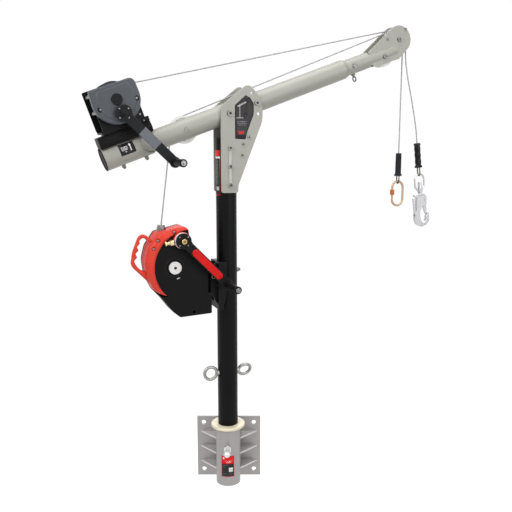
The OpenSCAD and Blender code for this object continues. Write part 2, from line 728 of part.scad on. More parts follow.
// the gear cover: a D-shaped case with a raised round face and bevelled shoulders
module winch_cover() color("#55585c") boom() {
    wall = 4;
    face_r = 66;
    difference() {
        union() {
            slab(cover_face + 6, near_plate - run) cover_shape(0);
            slab(cover_face + 3, cover_face + 6) cover_shape(3);
            intersection() {
                across(drum_at, cover_face, cover_face + 3, face_r - 3, face_r);
                slab(cover_face - 1, cover_face + 4) cover_shape(12);
            }
        }
        slab(cover_face + wall + 3, near_plate + 1) cover_shape(wall);
        across(pinion_at, cover_face - 1, near_plate, pinion_shaft_r + run);
        for (p = cover_screw_at) across(p, cover_face - 1, cover_face + 6, 6);
    }
    // the dimpled boss over the drum's shaft, and the screws in their recesses
    across(drum_at, cover_face - 4, cover_face, 19, 20);
    for (p = cover_screw_at) {
        across(p, cover_face + 2.5, cover_face + 6, 4.2);
        across(p, cover_face + 6.5, near_plate - run, 7);
    }
}

module winch_drum() color("#8f9296") boom() {
    half = drum_w / 2;
    across(drum_at, near_plate - 18, far_plate + frame_t + 3, shaft_r);
    across(drum_at, drum_mid - half, drum_mid + half, wound_r * cos(180 / wound_steps) - rope_d / 2 - run);
    for (side = [-1, 1]) across(drum_at, side < 0 ? drum_mid - half - 3 : drum_mid + half,
        side < 0 ? drum_mid - half : drum_mid + half + 3, drum_flange_d / 2);
}

// a tube swept along points; each ring is set square to the way the points run
function ring_at(points, i, r, sides, up) = let (n = len(points),
    way = unit(points[min(i + 1, n - 1)] - points[max(i - 1, 0)]),
    side = unit(cross(way, up)), other = cross(side, way))
    [for (k = [0:sides - 1]) points[i] + r * (cos(360 * k / sides) * side + sin(360 * k / sides) * other)];
module swept(points, r, sides, up = [0, 1, 0]) {
    n = len(points);
    rings = flat([for (i = [0:n - 1]) ring_at(points, i, r, sides, up)]);
    walls = flat([for (i = [0:n - 2], k = [0:sides - 1]) let (a = i * sides + k, b = i * sides + (k + 1) % sides)
        [[a, b, b + sides], [a, b + sides, a + sides]]]);
    polyhedron(points = rings, faces = concat([[for (k = [sides - 1:-1:0]) k]], walls,
        [[for (k = [0:sides - 1]) (n - 1) * sides + k]]), convexity = 10);
}

// rope routes in the boom's upright plane: over two wheels, or up from a point
function over(c1, r1, c2, r2) = let (v = c2 - c1) atan2(v[1], v[0]) - asin((r1 - r2) / norm(v));
function way(a) = [cos(a), sin(a)];
function rim(c, r, a) = c + r * way(a + 90);
function in_lane(points, w) = [for (p = points) [p[0], w, p[1]]];
winch_way = over(drum_at, wound_r, head_axle_at, head_rope_r);
block_way = over([guide_at, 0], guide_rope_r, head_axle_at, head_rope_r);
rise_foot = turned(outlet_at + [0, outlet_h - rope_seat], -boom_angle);
rise_from = turned(outlet_at + [0, outlet_h - 1], -boom_angle);
rise_way = over(rise_from, 0, [guide_at, 0], guide_rope_r);
rise_end = rim([guide_at, 0], guide_rope_r, rise_way) - rope_d * way(rise_way);
drop_way = -90 - boom_angle;
function over_head(a, w) = let (bend = arc(head_axle_at, head_rope_r, 90 + a, -boom_angle, 13))
    in_lane(concat(bend, [bend[13] + rope_d * way(drop_way)]), w);

// the rope's outer layer on the drum, one unbroken helix that leaves it over the top
wound_pitch = rope_d + 0.5;
wound_turns = floor((lane - drum_mid + drum_w / 2 - rope_d * 0.8) / wound_pitch);
wound_steps = 24;
wound_points = concat([for (i = [0:wound_turns * wound_steps])
    let (a = 90 + winch_way + 360 * (wound_turns - i / wound_steps))
    [drum_at[0] + wound_r * cos(a), lane - wound_pitch * (wound_turns - i / wound_steps),
     drum_at[1] + wound_r * sin(a)]],
    in_lane([rim(drum_at, wound_r, winch_way) + rope_d * way(winch_way)], lane));
module wound_rope() color("#9a9da0") boom() {
    n = wound_turns * wound_steps;
    gaps = [for (i = [0:n - wound_steps], k = [-2:2]) if (i + wound_steps + k <= n)
        norm(wound_points[i + wound_steps + k] - wound_points[i]) - rope_d];
    echo("least gap between turns", min(gaps));
    swept(wound_points, rope_d / 2, 6);
}

module winch_rope_span() color("#9a9da0") boom() swept(concat(
    in_lane([rim(drum_at, wound_r, winch_way) + rope_d * way(winch_way)], lane),
    over_head(winch_way, lane)), rope_d / 2, 8);

module block_rope_span() color("#9a9da0") boom() swept(concat(in_lane([rise_end], 0),
    in_lane(arc([guide_at, 0], guide_rope_r, 90 + rise_way, 90 + block_way, 8), 0),
    over_head(block_way, -lane)), rope_d / 2, 8);

module block_rope_rise() color("#9a9da0") boom()
    swept(in_lane([rise_foot, rise_from, rise_end], 0), rope_d / 2, 8);

// involute gear outline with a little play at the pitch line
function inv(r, base) = sqrt(max(0, r * r / base / base - 1)) * 180 / PI - acos(min(1, base / r));
function gear_outline(teeth, turn) = let (pitch_r = gear_module * teeth / 2, base = pitch_r * cos(25),
    tip = pitch_r + 0.9 * gear_module, root = pitch_r - 1.2 * gear_module,
    half = 90 / teeth - 0.16 / pitch_r * 180 / PI, low = max(base, root + 0.2))
    flat([for (t = [0:teeth - 1]) let (mid = turn + 360 * t / teeth)
        concat([polar(root, mid - half - inv(pitch_r, base))],
        [for (i = [0:3]) let (r = low + (tip - low) * i / 3) polar(r, mid - half - inv(pitch_r, base) + inv(r, base))],
        [for (i = [3:-1:0]) let (r = low + (tip - low) * i / 3) polar(r, mid + half + inv(pitch_r, base) - inv(r, base))],
        [polar(root, mid + half + inv(pitch_r, base))])]);
function polar(r, a) = r * [cos(a), sin(a)];
line_dir = -86.5;

module winch_gear() color("#7d8084") boom() difference() {
    slab(near_plate - 16, near_plate - 4) translate(drum_at) polygon(gear_outline(gear_teeth, line_dir));
    across(drum_at, near_plate - 30, near_plate, shaft_r);
    for (a = [0:60:300]) across(drum_at + 24 * [cos(a), sin(a)], near_plate - 30, near_plate, 6);
}

winch_crank_w = cover_face - 12;
module place_winch_crank() boom() translate([pinion_at[0], winch_crank_w, pinion_at[1]])
    rotate([0, -winch_crank_dir, 0]) children();
// the winch's crank, with the pinion cut on its shaft
module winch_crank() color("#2c2d30") {
    place_winch_crank() crank(near_plate + frame_t - winch_crank_w);
    boom() slab(near_plate - 17, near_plate - 3) translate(pinion_at)
        polygon(gear_outline(pinion_teeth, line_dir + 180 + 180 / pinion_teeth));
}
module winch_crank_grip() color("#18181a") place_winch_crank() crank_grip();

// the inner tube, opened at its end for the sheaves so that only its flanks run on over the cheeks
module inner_boom() color("#b4b3a9") boom() {
    flank = head_gap / 2 + cheek_t;
    flank_end = head_start + 123;
    difference() {
        pipe(boom_front - inner_hidden, flank_end, inner_r, inner_r - inner_wall);
        translate([head_start, -flank, -boom_d]) cube([300, 2 * flank, 2 * boom_d]);
        slab(-50, 50) difference() {
            translate([flank_end - 20, -40]) square([60, 80]);
            translate([flank_end - 21, 0]) circle(r = 21, $fn = fine);
        }
        across(idler_at, -50, 50, axle_r + run);
        across([stop_at, 0], -50, 50, 6 + run);
        translate([stop_at, 0, -boom_d]) cylinder(h = boom_d, r = 5 + run, $fn = fine);
    }
}

// the bolt through the inner tube that stops it at its length, and the small eye under it
module stop_bolts() color("gainsboro") boom() {
    across([stop_at, 0], -inner_r - 1, inner_r + 1, 6);
    for (side = [-1, 1]) translate([stop_at, side * (inner_r + 0.3), 0]) rotate([side * -90, 0, 0]) hex(5, 10);
    translate([stop_at, 0, -inner_r - 12]) cylinder(h = 20, r = 5, $fn = fine);
    difference() {
        translate([stop_at, 0, -inner_r - 5]) cylinder(h = 8, r = 8, $fn = fine);
        along(stop_at - 20, stop_at + 20, inner_r + seat);
    }
    translate([stop_at, 0, -inner_r - 19]) rotate([90, 0, 20])
        rotate_extrude($fn = 32) translate([8.5, 0]) circle(r = 2.6, $fn = 16);
}

function touch_angle(from, centre, r, side) = let (v = centre - from)
    atan2(v[1], v[0]) + side * asin(r / norm(v)) + side * 90;
module head_cheeks() color("#a9a99f") boom() {
    tail = [head_start, inner_r - 2];
    heel = [head_start + 123, -36];
    for (w = [-head_gap / 2 - cheek_t, head_gap / 2]) difference() {
        slab(w, w + cheek_t) polygon(concat(
            arc(head_axle_at, cheek_r, touch_angle(heel, head_axle_at, cheek_r, -1),
                touch_angle(tail, head_axle_at, cheek_r, 1), 20),
            [tail, [head_start, -20]],
            [[head_start + 26, -33]],
            rounded_corner([head_start + 26, -33], heel, head_axle_at + [cheek_r, 0], 4)));
        across(head_axle_at, w - 1, w + 10, axle_r + run);
        across(idler_at, w - 1, w + 10, axle_r + run);
        for (p = guard_at) across(p, w - 1, w + 10, 3 + run);
    }
}
guard_at = [head_axle_at + (head_sheave_d / 2 + 3.6) * [cos(36), sin(36)],
    head_axle_at + (head_sheave_d / 2 + 8) * [cos(162), sin(162)]];

module head_axles() color("gainsboro") boom() {
    face = head_gap / 2 + cheek_t;
    for (p = [head_axle_at, idler_at]) {
        reach = p == idler_at ? inner_r : face;
        across(p, -reach, reach, axle_r);
        translate([p[0], -reach, p[1]]) rotate([90, 0, 0]) cap_head(8.5, 5);
        translate([p[0], reach, p[1]]) rotate([-90, 0, 0]) hex(7, 9);
    }
    for (p = guard_at) {
        across(p, -face, face, 3);
        for (side = [-1, 1]) translate([p[0], side * face, p[1]]) rotate([side * -90, 0, 0]) cap_head(5, 3);
    }
}

module winch_head_sheave() color("white") boom()
    sheave(head_axle_at, lane, head_gap / 2 - 2, head_sheave_d / 2, head_rope_r, axle_r + run);
module block_head_sheave() color("white") boom()
    sheave(head_axle_at, -lane, head_gap / 2 - 2, head_sheave_d / 2, head_rope_r, axle_r + run);

// the two-lane roller that keeps a swinging rope off the tube
module idler() color("white") boom() {
    half = head_gap / 2 - 1;
    groove_r = idler_d / 2 - 4;
    translate([idler_at[0], 0, idler_at[1]]) rotate([90, 0, 0]) rotate_extrude($fn = fine) polygon(concat(
        [[axle_r + run, -half], [idler_d / 2, -half], [idler_d / 2, -half + 1]],
        arc([groove_r, -lane], rope_d / 2 + 0.2, -90, -270, 8), [[idler_d / 2, -1], [idler_d / 2, 1]],
        arc([groove_r, lane], rope_d / 2 + 0.2, -90, -270, 8),
        [[idler_d / 2, half - 1], [idler_d / 2, half], [axle_r + run, half]]));
}

// what hangs from the head, in the mast's frame
head_at = turned(head_axle_at, boom_angle);
drop_from = head_at + [head_rope_r, -rope_d];
module winch_hang() heading() translate([drop_from[0], lane, drop_from[1] - winch_drop]) children();
// the block rope springs outward as it hangs
block_points = [[0, -6], [0, -22], [3, -70], [13, -125], [27, -180], [41, -235], [54, -290], [65, -345], [70, -384]];
block_lean = 7;
block_end = block_points[8] + 6 * way(block_lean - 90);
module block_hang() heading() translate([drop_from[0] + block_end[0], -lane, drop_from[1] + block_end[1]])
    rotate([0, -block_lean, 0]) children();

// a smooth line through the points, four steps to each stretch
function smooth(p) = let (n = len(p)) concat([for (i = [0:n - 2], k = [0:3]) let (t = k / 4,
    a = p[max(i - 1, 0)], b = p[i], c = p[i + 1], d = p[min(i + 2, n - 1)])
    0.5 * (2 * b + (c - a) * t + (2 * a - 5 * b + 4 * c - d) * t * t + (3 * b - a - 3 * c + d) * t * t * t)],
    [p[n - 1]]);
module hanging(points, w) heading()
    swept([for (p = points) [drop_from[0] + p[0], w, drop_from[1] + p[1]]], rope_d / 2, 8);

module winch_rope_drop() color("#9a9da0") hanging([for (i = [0:32]) [0, -winch_drop * i / 32]], lane);
module block_rope_drop() color("#9a9da0") hanging(concat([[0, 0]], smooth(block_points),
    [block_end]), -lane);

// the rope's eye under a sleeve: two legs and a half ring that the next link hangs in
loop_play = 0.3;
module rope_eye(from, centre, r) {
    for (side = [-1, 1]) translate([0, side * r, centre]) cylinder(h = from - centre, r = rope_d / 2, $fn = 24);
    translate([0, 0, centre]) rotate([0, 90, 0]) rotate([0, 0, -90])
        rotate_extrude(angle = 180, $fn = 40) translate([r, 0]) circle(r = rope_d / 2, $fn = 24);
}
winch_link_z = -sleeve_len - 22;
block_link_z = -handhold_len - 27;

module winch_sleeve() color("#3a3c42") winch_hang() {
    rotate_extrude($fn = fine) polygon([[0, 0], [8.5, 0], [11.4, -3], [12, -sleeve_len + 9],
        [15.5, -sleeve_len + 6], [15.5, -sleeve_len + 1], [14, -sleeve_len], [0, -sleeve_len]]);
    leg = carabiner_bar / 2 + 1 + rope_d / 2;
    rope_eye(-sleeve_len + 2, winch_link_z - carabiner_bar / 2 - loop_play + leg - rope_d / 2, leg);
}

module block_grip() color("#1a1a1c") block_hang() {
    waves = 3;
    rotate_extrude($fn = fine) polygon(concat([[0, 0], [10, 0], [14.5, -4], [14.5, -7]],
        [for (i = [0:24]) [11.4 + 1.4 * abs(sin(180 * waves * i / 24)), -11 - (handhold_len - 22) * i / 24]],
        [[14.5, -handhold_len + 6], [16, -handhold_len + 2], [16, -handhold_len], [0, -handhold_len]]));
    leg = swivel_bar / 2 + 1 + rope_d / 2;
    rope_eye(-handhold_len + 2, block_link_z - swivel_bar / 2 - loop_play + leg - rope_d / 2, leg);
}

// an upright half ring of bar, above or below its centre
module half_ring(centre, r, bar, turn) {
    translate([0, 0, centre]) rotate([90, 0, 0]) rotate([0, 0, turn])
        rotate_extrude(angle = 180, $fn = fine) translate([r, 0]) circle(r = bar / 2, $fn = 32);
}
bow_r = (carabiner_w - carabiner_bar) / 2;
bow_low = -(carabiner_h - carabiner_bar - bow_r);
gate_r = carabiner_bar / 2 - 0.4;
gate_hinge = bow_low + 1 + seat + gate_r;
gate_top = -bow_r - 1.5;
thread_r = carabiner_bar / 2 + 0.3;
module link() winch_hang() translate([0, 0, winch_link_z]) children();

module carabiner_body() color("#c7a56b") link() {
    half_ring(-bow_r, bow_r, carabiner_bar, 0);
    half_ring(bow_low, bow_r, carabiner_bar, 180);
    translate([bow_r, 0, bow_low]) cylinder(h = -bow_r - bow_low, r = carabiner_bar / 2, $fn = 32);
    translate([-bow_r, 0, -bow_r - 1]) cylinder(h = 1, r = carabiner_bar / 2, $fn = 32);
    translate([-bow_r, 0, bow_low]) cylinder(h = 1, r = carabiner_bar / 2, $fn = 32);
}

module carabiner_gate() color("#c7a56b") link() translate([-bow_r, 0, 0]) {
    translate([0, 0, gate_hinge]) sphere(r = gate_r, $fn = 32);
    translate([0, 0, gate_hinge]) cylinder(h = gate_top - gate_hinge, r = gate_r, $fn = 32);
    translate([0, 0, gate_hinge + 8]) cylinder(h = gate_top - gate_hinge - 14, r = thread_r, $fn = 32);
}

module carabiner_sleeve() color("#d9650f") link() translate([-bow_r, 0, gate_top - 27]) {
    difference() {
        rotate_extrude($fn = 40) polygon([[thread_r + run, 0], [8.1, 0], [8.7, 1], [8.7, 20], [8.1, 21],
            [thread_r + run, 21]]);
        for (a = [0:30:330]) rotate([0, 0, a]) translate([9.4, 0, 3]) cylinder(h = 15, r = 1.3, $fn = 16);
    }
}

// the swivel eye: an oval of bar with a bored boss at its foot
eye_r = 22;
boss_top = block_link_z - 59;
boss_h = 16;
swivel_r = 5.5;
module swivel_eye() color("gainsboro") block_hang() difference() {
    union() {
        half_ring(block_link_z - eye_r, eye_r, swivel_bar, 0);
        half_ring(boss_top - 8 + eye_r, eye_r, swivel_bar, 180);
        for (side = [-1, 1]) translate([side * eye_r, 0, boss_top - 8 + eye_r])
            cylinder(h = block_link_z - boss_top + 8 - 2 * eye_r, r = swivel_bar / 2, $fn = 32);
        translate([0, 0, boss_top - boss_h]) cylinder(h = boss_h, r = 11, $fn = fine);
    }
    translate([0, 0, boss_top - boss_h - 1]) cylinder(h = boss_h + 2, r = swivel_r + run, $fn = fine);
}

// the snap hook, drawn with its neck at the top and z running down
hook_top = boss_top - boss_h - 5;
gate_pin = [16, 27];
lock_pin = [-30, 81];
function down(points) = [for (p = points) [p[0], -p[1]]];
module hook() block_hang() translate([0, 0, hook_top]) children();
module hook_body() color("#d4d5d6") hook() {
    difference() {
        slab(-hook_t / 2, hook_t / 2) polygon(down(outline([[-30.5, 1, 6], [15, 1, 8], [27, 15, 8], [25.5, 44, 5],
            [2, 56, 5], [-8.5, 70, 10], [-10, 92, 14], [-7, 112, 14], [2, 122, 8], [13, 119, 8], [19, 108, 8],
            [19.5, 97, 5], [24.4, 90, 2], [24.4, 82, 1.5], [30, 82, 3], [34, 96, 14], [31, 118, 16],
            [16, 134, 18], [-8, 138, 18], [-28, 126, 18], [-36, 106, 12], [-34.5, 74, 4], [-25, 70, 5],
            [-19.5, 14, 3], [-30.5, 11, 3]])));
        slab(-hook_t / 4 - seat, hook_t / 4 + seat) polygon([[-3.5, -14], [50, -14], [50, -80], [-3.5, -80]]);
        slab(-hook_t / 4 - seat, hook_t / 4 + seat) polygon([[-50, -60], [-25.2, -60], [-25.2, -90], [-50, -90]]);
        across([gate_pin[0], -gate_pin[1]], -20, 20, 3 + run);
        across([lock_pin[0], -lock_pin[1]], -20, 20, 2.5 + run);
    }
    translate([0, 0, -6]) cylinder(h = 10.6, r = 8.5, $fn = fine);
    translate([0, 0, 0]) cylinder(h = boss_h + 6, r = swivel_r, $fn = fine);
    translate([0, 0, boss_h + 5.4]) cylinder(h = 29, r1 = 9, r2 = 8, $fn = fine);
}

module hook_gate() color("#c4c5c7") hook() {
    slab(-hook_t / 4, hook_t / 4) polygon(down(outline([[7.5, 18, 7], [25, 18, 7], [24.8, 60, 12], [23.8, 88, 3],
        [17, 88, 3], [9, 55, 12]])));
    across([gate_pin[0], -gate_pin[1]], -hook_t / 2 - 0.8, hook_t / 2 + 0.8, 3);
}

module hook_lock() color("#c4c5c7") hook() {
    slab(-hook_t / 4, hook_t / 4) polygon(down(outline([[-37.5, 15, 3], [-29, 15, 3], [-29.5, 68, 10],
        [-26.6, 82, 2], [-29, 86, 3], [-35.5, 86, 3], [-36, 46, 30]])));
    across([lock_pin[0], -lock_pin[1]], -hook_t / 2 - 0.6, hook_t / 2 + 0.6, 2.5);
}

wall_plate();
socket_tube();
gussets();
upper_bush();
lower_bush();
lock_bolt();
mast_tube();
mast_plug();
head_plates();
head_straps();
head_bolts();
pivot_bolt();
eye_bolts();
block_bracket();
bracket_bolt();
release_pin();
block_case();
block_cover();
block_handle();
block_outlet();
block_drum();
block_crank();
block_crank_grip();
block_knob();
boom_tube();
rear_sleeve();
rear_cap();
boom_collar();
guide_sheave();
guide_axle();
saddle();
winch_frame();
winch_studs();
winch_cover();
winch_drum();
wound_rope();
winch_gear();
winch_crank();
winch_crank_grip();
inner_boom();
stop_bolts();
head_cheeks();
head_axles();
winch_head_sheave();
block_head_sheave();
idler();
winch_rope_span();
block_rope_span();
block_rope_rise();
winch_rope_drop();
winch_sleeve();
carabiner_body();
carabiner_gate();
carabiner_sleeve();
block_rope_drop();
block_grip();
swivel_eye();
hook_body();
hook_gate();
hook_lock();
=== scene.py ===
import math
import bmesh
import bpy
import numpy as np
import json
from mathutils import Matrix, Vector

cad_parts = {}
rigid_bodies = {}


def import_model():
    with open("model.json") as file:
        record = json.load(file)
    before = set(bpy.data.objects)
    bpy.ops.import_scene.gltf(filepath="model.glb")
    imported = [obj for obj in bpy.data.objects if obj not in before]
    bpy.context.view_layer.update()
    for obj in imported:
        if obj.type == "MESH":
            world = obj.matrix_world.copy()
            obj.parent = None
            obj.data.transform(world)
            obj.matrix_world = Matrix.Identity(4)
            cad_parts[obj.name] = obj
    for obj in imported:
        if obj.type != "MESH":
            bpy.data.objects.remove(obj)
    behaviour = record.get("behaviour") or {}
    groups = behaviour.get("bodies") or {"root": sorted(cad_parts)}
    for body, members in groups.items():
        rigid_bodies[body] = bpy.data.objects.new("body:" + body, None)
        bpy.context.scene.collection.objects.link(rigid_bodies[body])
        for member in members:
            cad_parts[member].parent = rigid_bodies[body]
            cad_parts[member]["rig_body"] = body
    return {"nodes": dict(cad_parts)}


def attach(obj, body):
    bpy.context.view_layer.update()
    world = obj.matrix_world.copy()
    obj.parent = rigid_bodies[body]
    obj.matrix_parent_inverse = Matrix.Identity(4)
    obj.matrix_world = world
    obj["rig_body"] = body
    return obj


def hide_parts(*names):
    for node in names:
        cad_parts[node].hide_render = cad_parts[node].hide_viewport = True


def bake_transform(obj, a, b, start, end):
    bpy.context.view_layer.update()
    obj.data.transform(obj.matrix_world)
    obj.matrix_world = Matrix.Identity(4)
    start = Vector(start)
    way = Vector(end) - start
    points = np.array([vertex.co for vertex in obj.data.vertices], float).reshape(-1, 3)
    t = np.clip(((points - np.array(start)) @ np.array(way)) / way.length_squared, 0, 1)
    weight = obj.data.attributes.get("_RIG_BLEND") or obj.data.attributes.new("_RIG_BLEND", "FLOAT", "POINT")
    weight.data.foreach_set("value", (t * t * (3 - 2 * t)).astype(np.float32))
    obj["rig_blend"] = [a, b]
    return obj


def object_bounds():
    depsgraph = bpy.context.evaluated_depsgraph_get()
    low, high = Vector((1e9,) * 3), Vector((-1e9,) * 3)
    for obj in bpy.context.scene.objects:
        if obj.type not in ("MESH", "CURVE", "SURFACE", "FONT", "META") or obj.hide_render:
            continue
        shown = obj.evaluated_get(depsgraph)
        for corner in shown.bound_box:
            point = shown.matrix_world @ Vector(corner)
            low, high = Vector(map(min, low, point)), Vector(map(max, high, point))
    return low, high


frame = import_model()
cad_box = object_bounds()


# The view. The whole crane from a little above, square to its wall, in even studio light.
# Only the camera and the light are here; the floor lies well below the socket.
LENS, SENSOR, FRAME_WIDTH, TILT = 46.62, 36, 512, math.radians(9.76)
camera = bpy.data.objects.new("camera", bpy.data.cameras.new("camera"))
camera.data.lens = LENS
camera.data.sensor_width = SENSOR
camera.location = (0.10885, -2.5101, 1.204)
camera.rotation_euler = (math.pi / 2 - TILT, 0, 0)
bpy.context.scene.collection.objects.link(camera)
bpy.context.scene.camera = camera
bpy.context.scene.view_settings.view_transform = "Standard"


def softbox(name, place, aim, size, power):
    """A square lamp of this size and power, turned from its place towards the point it is aimed at."""
    lamp = bpy.data.objects.new(name, bpy.data.lights.new(name, "AREA"))
    lamp.data.size = size
    lamp.data.energy = power
    lamp.location = place
    way = np.array(aim, float) - np.array(place, float)
    lamp.rotation_euler = (math.atan2(math.hypot(way[0], way[1]), -way[2]), 0,
                           math.atan2(way[1], way[0]) - math.pi / 2)
    bpy.context.scene.collection.objects.link(lamp)


softbox("key", (-2.4, -3.0, 3.4), (0.1, 0, 0.9), 2.2, 105)
softbox("fill", (2.8, -2.8, 1.9), (0.1, 0, 0.9), 2.4, 58)
softbox("top", (0.2, -0.2, 3.9), (0.1, 0, 0.8), 2.0, 58)
softbox("rear", (0.4, 3.2, 1.6), (0.1, 0, 0.9), 2.4, 46)


def wired(tree, kind, inputs, out=0, **settings):
    """A shader node of this kind, its settings made and each input set to a value or linked from a socket. It
    gives one of its outputs."""
    node = tree.nodes.new(kind)
    for key, value in settings.items():
        setattr(node, key, value)
    for key, value in inputs.items():
        if isinstance(value, bpy.types.NodeSocket):
            tree.links.new(value, node.inputs[key])
        else:
            node.inputs[key].default_value = value
    return node.outputs[out]


def maths(tree, operation, first, second):
    """One sum on two sockets or numbers."""
    return wired(tree, "ShaderNodeMath", {0: first, 1: second}, operation=operation)


def seen_directly(tree):
    """One where the camera, a reflection or clear glass looks at the surface, and nought for its light."""
    rays = tree.nodes.new("ShaderNodeLightPath").outputs
    both = maths(tree, "MAXIMUM", rays["Is Camera Ray"], rays["Is Glossy Ray"])
    return maths(tree, "MAXIMUM", both, rays["Is Transmission Ray"])


world = bpy.data.worlds.new("studio")
bpy.context.scene.world = world
world.use_nodes = True
sky = world.node_tree
light = sky.nodes["Background"]
light.inputs["Color"].default_value = (0.97, 0.98, 1, 1)
light.inputs["Strength"].default_value = 0.42
white = wired(sky, "ShaderNodeBackground", {"Color": (1, 1, 1, 1)})
both_skies = wired(sky, "ShaderNodeMixShader", {0: seen_directly(sky), 1: light.outputs[0], 2: white})
sky.links.new(both_skies, sky.nodes["World Output"].inputs["Surface"])


# The floor. A plain pale floor that keeps a faint shadow and fades into the white around it.
# It is stage, and no part of the crane.
FLOOR_HALF, FLOOR_LEVEL = 9, -0.55
FADE_FROM, FADE_TO = 0.8, 2.8


def pale_floor():
    """White paper: part of its brightness is its own and the rest is the light on it, and where the fade ends
    it is all its own."""
    m = bpy.data.materials.new("pale floor")
    m.use_nodes = True
    tree = m.node_tree
    paper = tree.nodes["Principled BSDF"]
    paper.inputs["Base Color"].default_value = (0.62, 0.62, 0.62, 1)
    paper.inputs["Roughness"].default_value = 0.9
    glow = wired(tree, "ShaderNodeEmission", {"Strength": 0.5})
    lit = wired(tree, "ShaderNodeAddShader", {0: paper.outputs[0], 1: glow})
    far = wired(tree, "ShaderNodeEmission", {})
    where = wired(tree, "ShaderNodeTexCoord", {}, out="Object")
    distance = wired(tree, "ShaderNodeVectorMath", {0: where}, out="Value", operation="LENGTH")
    fade = wired(tree, "ShaderNodeMapRange", {"Value": distance, "From Min": FADE_FROM, "From Max": FADE_TO},
                 interpolation_type="SMOOTHSTEP")
    near = wired(tree, "ShaderNodeMixShader", {0: fade, 1: lit, 2: far})
    seen = wired(tree, "ShaderNodeMixShader", {0: seen_directly(tree), 1: paper.outputs[0], 2: near})
    tree.links.new(seen, tree.nodes["Material Output"].inputs["Surface"])
    return m


floor_mesh = bpy.data.meshes.new("floor")
corners = [(x * FLOOR_HALF, y * FLOOR_HALF, FLOOR_LEVEL) for x, y in ((-1, -1), (1, -1), (1, 1), (-1, 1))]
floor_mesh.from_pydata(corners, [], [(0, 1, 2, 3)])
floor_mesh.materials.append(pale_floor())
floor = bpy.data.objects.new("floor", floor_mesh)
bpy.context.scene.collection.objects.link(floor)


# The wire ropes. Galvanised steel rope of 5 mm, six strands laid round a core with a 30 mm lay.
# The winch's rope runs over the boom, the block's rope comes up through it and shares the head.
YAW = math.radians(21.5)
LUFF = math.radians(20)
PIVOT = np.array([0, -76, 1304])


def turned(points, angle, i, j):
    """Points turned by an angle in the plane of axes i and j, from i towards j."""
    out = np.array(points, float)
    a, b = out[..., i].copy(), out[..., j].copy()
    out[..., i] = math.cos(angle) * a - math.sin(angle) * b
    out[..., j] = math.sin(angle) * a + math.cos(angle) * b
    return out


def heading(points):
    """Millimetres in the mast head's frame (ahead, away, up from the pivot) to metres in the row frame."""
    return (turned(points, YAW, 0, 1) + PIVOT) / 1000


def boom(points):
    """Millimetres in the boom's frame (along, across, square to it) to metres in the row frame."""
    return heading(turned(points, LUFF, 0, 2))


def tint(colour):
    """A colour as it looks on a screen, to the linear values that a shader takes."""
    c = np.array(colour, float)
    return (*np.where(c < 0.04045, c / 12.92, ((c + 0.055) / 1.055) ** 2.4), 1)


def finish(name, colour, rough, metal=0.0, mottle=0.06, broad=18, fine=900, raised=0.03, uneven=0.08,
           shine=0.5):
    """A surface whose colour and gloss drift with a broad noise, and whose skin is raised by a fine noise,
    both in the piece's own coordinates."""
    m = bpy.data.materials.new(name)
    m.use_nodes = True
    tree = m.node_tree
    shader = tree.nodes["Principled BSDF"]
    shader.inputs["Metallic"].default_value = metal
    shader.inputs["Specular IOR Level"].default_value = shine
    where = wired(tree, "ShaderNodeTexCoord", {}, out="Object")
    drift = wired(tree, "ShaderNodeTexNoise", {"Vector": where, "Scale": broad, "Detail": 5})
    shade = tree.nodes.new("ShaderNodeValToRGB")
    shade.name = "shade"
    tree.links.new(drift, shade.inputs[0])
    base = np.array(tint(colour)[:3])
    for stop, at, share in zip(shade.color_ramp.elements, (0.3, 0.72), (1 - 1.6 * mottle, 1 + 1.6 * mottle)):
        stop.position = at
        stop.color = (*np.clip(base * share, 0, 1), 1)
    gloss = wired(tree, "ShaderNodeMapRange", {
        "Value": drift, "From Min": 0.3, "From Max": 0.7, "To Min": max(0.03, rough - uneven),
        "To Max": min(1, rough + uneven)})
    skin = wired(tree, "ShaderNodeTexNoise", {"Vector": where, "Scale": fine, "Detail": 3})
    bumps = wired(tree, "ShaderNodeBump", {"Height": skin, "Strength": 1, "Distance": raised / 1000})
    for socket, source in (("Base Color", shade.outputs["Color"]), ("Roughness", gloss), ("Normal", bumps)):
        tree.links.new(source, shader.inputs[socket])
    return m


def laid(name, grid, material, body=None, around=True, ends=True):
    """A surface through a grid of points: every cell is a four-sided face, the columns join where it goes
    round, and a fan to its middle closes each end. Its faces are turned outwards and shaded smooth."""
    rows, cols = grid.shape[:2]
    spot = np.arange(rows * cols).reshape(rows, cols)
    here, there = (spot, np.roll(spot, -1, 1)) if around else (spot[:, :-1], spot[:, 1:])
    faces = np.stack([here[:-1], there[:-1], there[1:], here[1:]], -1).reshape(-1, 4).tolist()
    points = grid.reshape(-1, 3)
    if ends:
        hubs = rows * cols + np.arange(2)
        points = np.vstack([points, grid[0].mean(0), grid[-1].mean(0)])
        for ring, hub in zip((spot[0][::-1], spot[-1]), hubs):
            faces += np.stack([ring, np.roll(ring, -1), np.full(cols, hub)], -1).tolist()
    mesh = bpy.data.meshes.new(name)
    mesh.from_pydata(points.tolist(), [], faces)
    if around and ends:
        shell = bmesh.new()
        shell.from_mesh(mesh)
        bmesh.ops.recalc_face_normals(shell, faces=shell.faces)
        shell.to_mesh(mesh)
        shell.free()
    mesh.polygons.foreach_set("use_smooth", np.ones(len(mesh.polygons), bool))
    mesh.set_sharp_from_angle(angle=math.radians(38))
    mesh.materials.append(material)
    piece = bpy.data.objects.new(name, mesh)
    bpy.context.scene.collection.objects.link(piece)
    if body:
        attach(piece, body)
    return piece


def circle(count):
    """Even angles once round."""
    return np.linspace(0, 2 * math.pi, count, endpoint=False)


def spread(*coordinates):
    """A grid of points from its coordinates, each of them a number, a row, a column or a whole grid."""
    return np.stack(np.broadcast_arrays(*coordinates), -1)


def unit(vectors):
    """The same directions, each of length one."""
    return vectors / np.linalg.norm(vectors, axis=-1, keepdims=True)


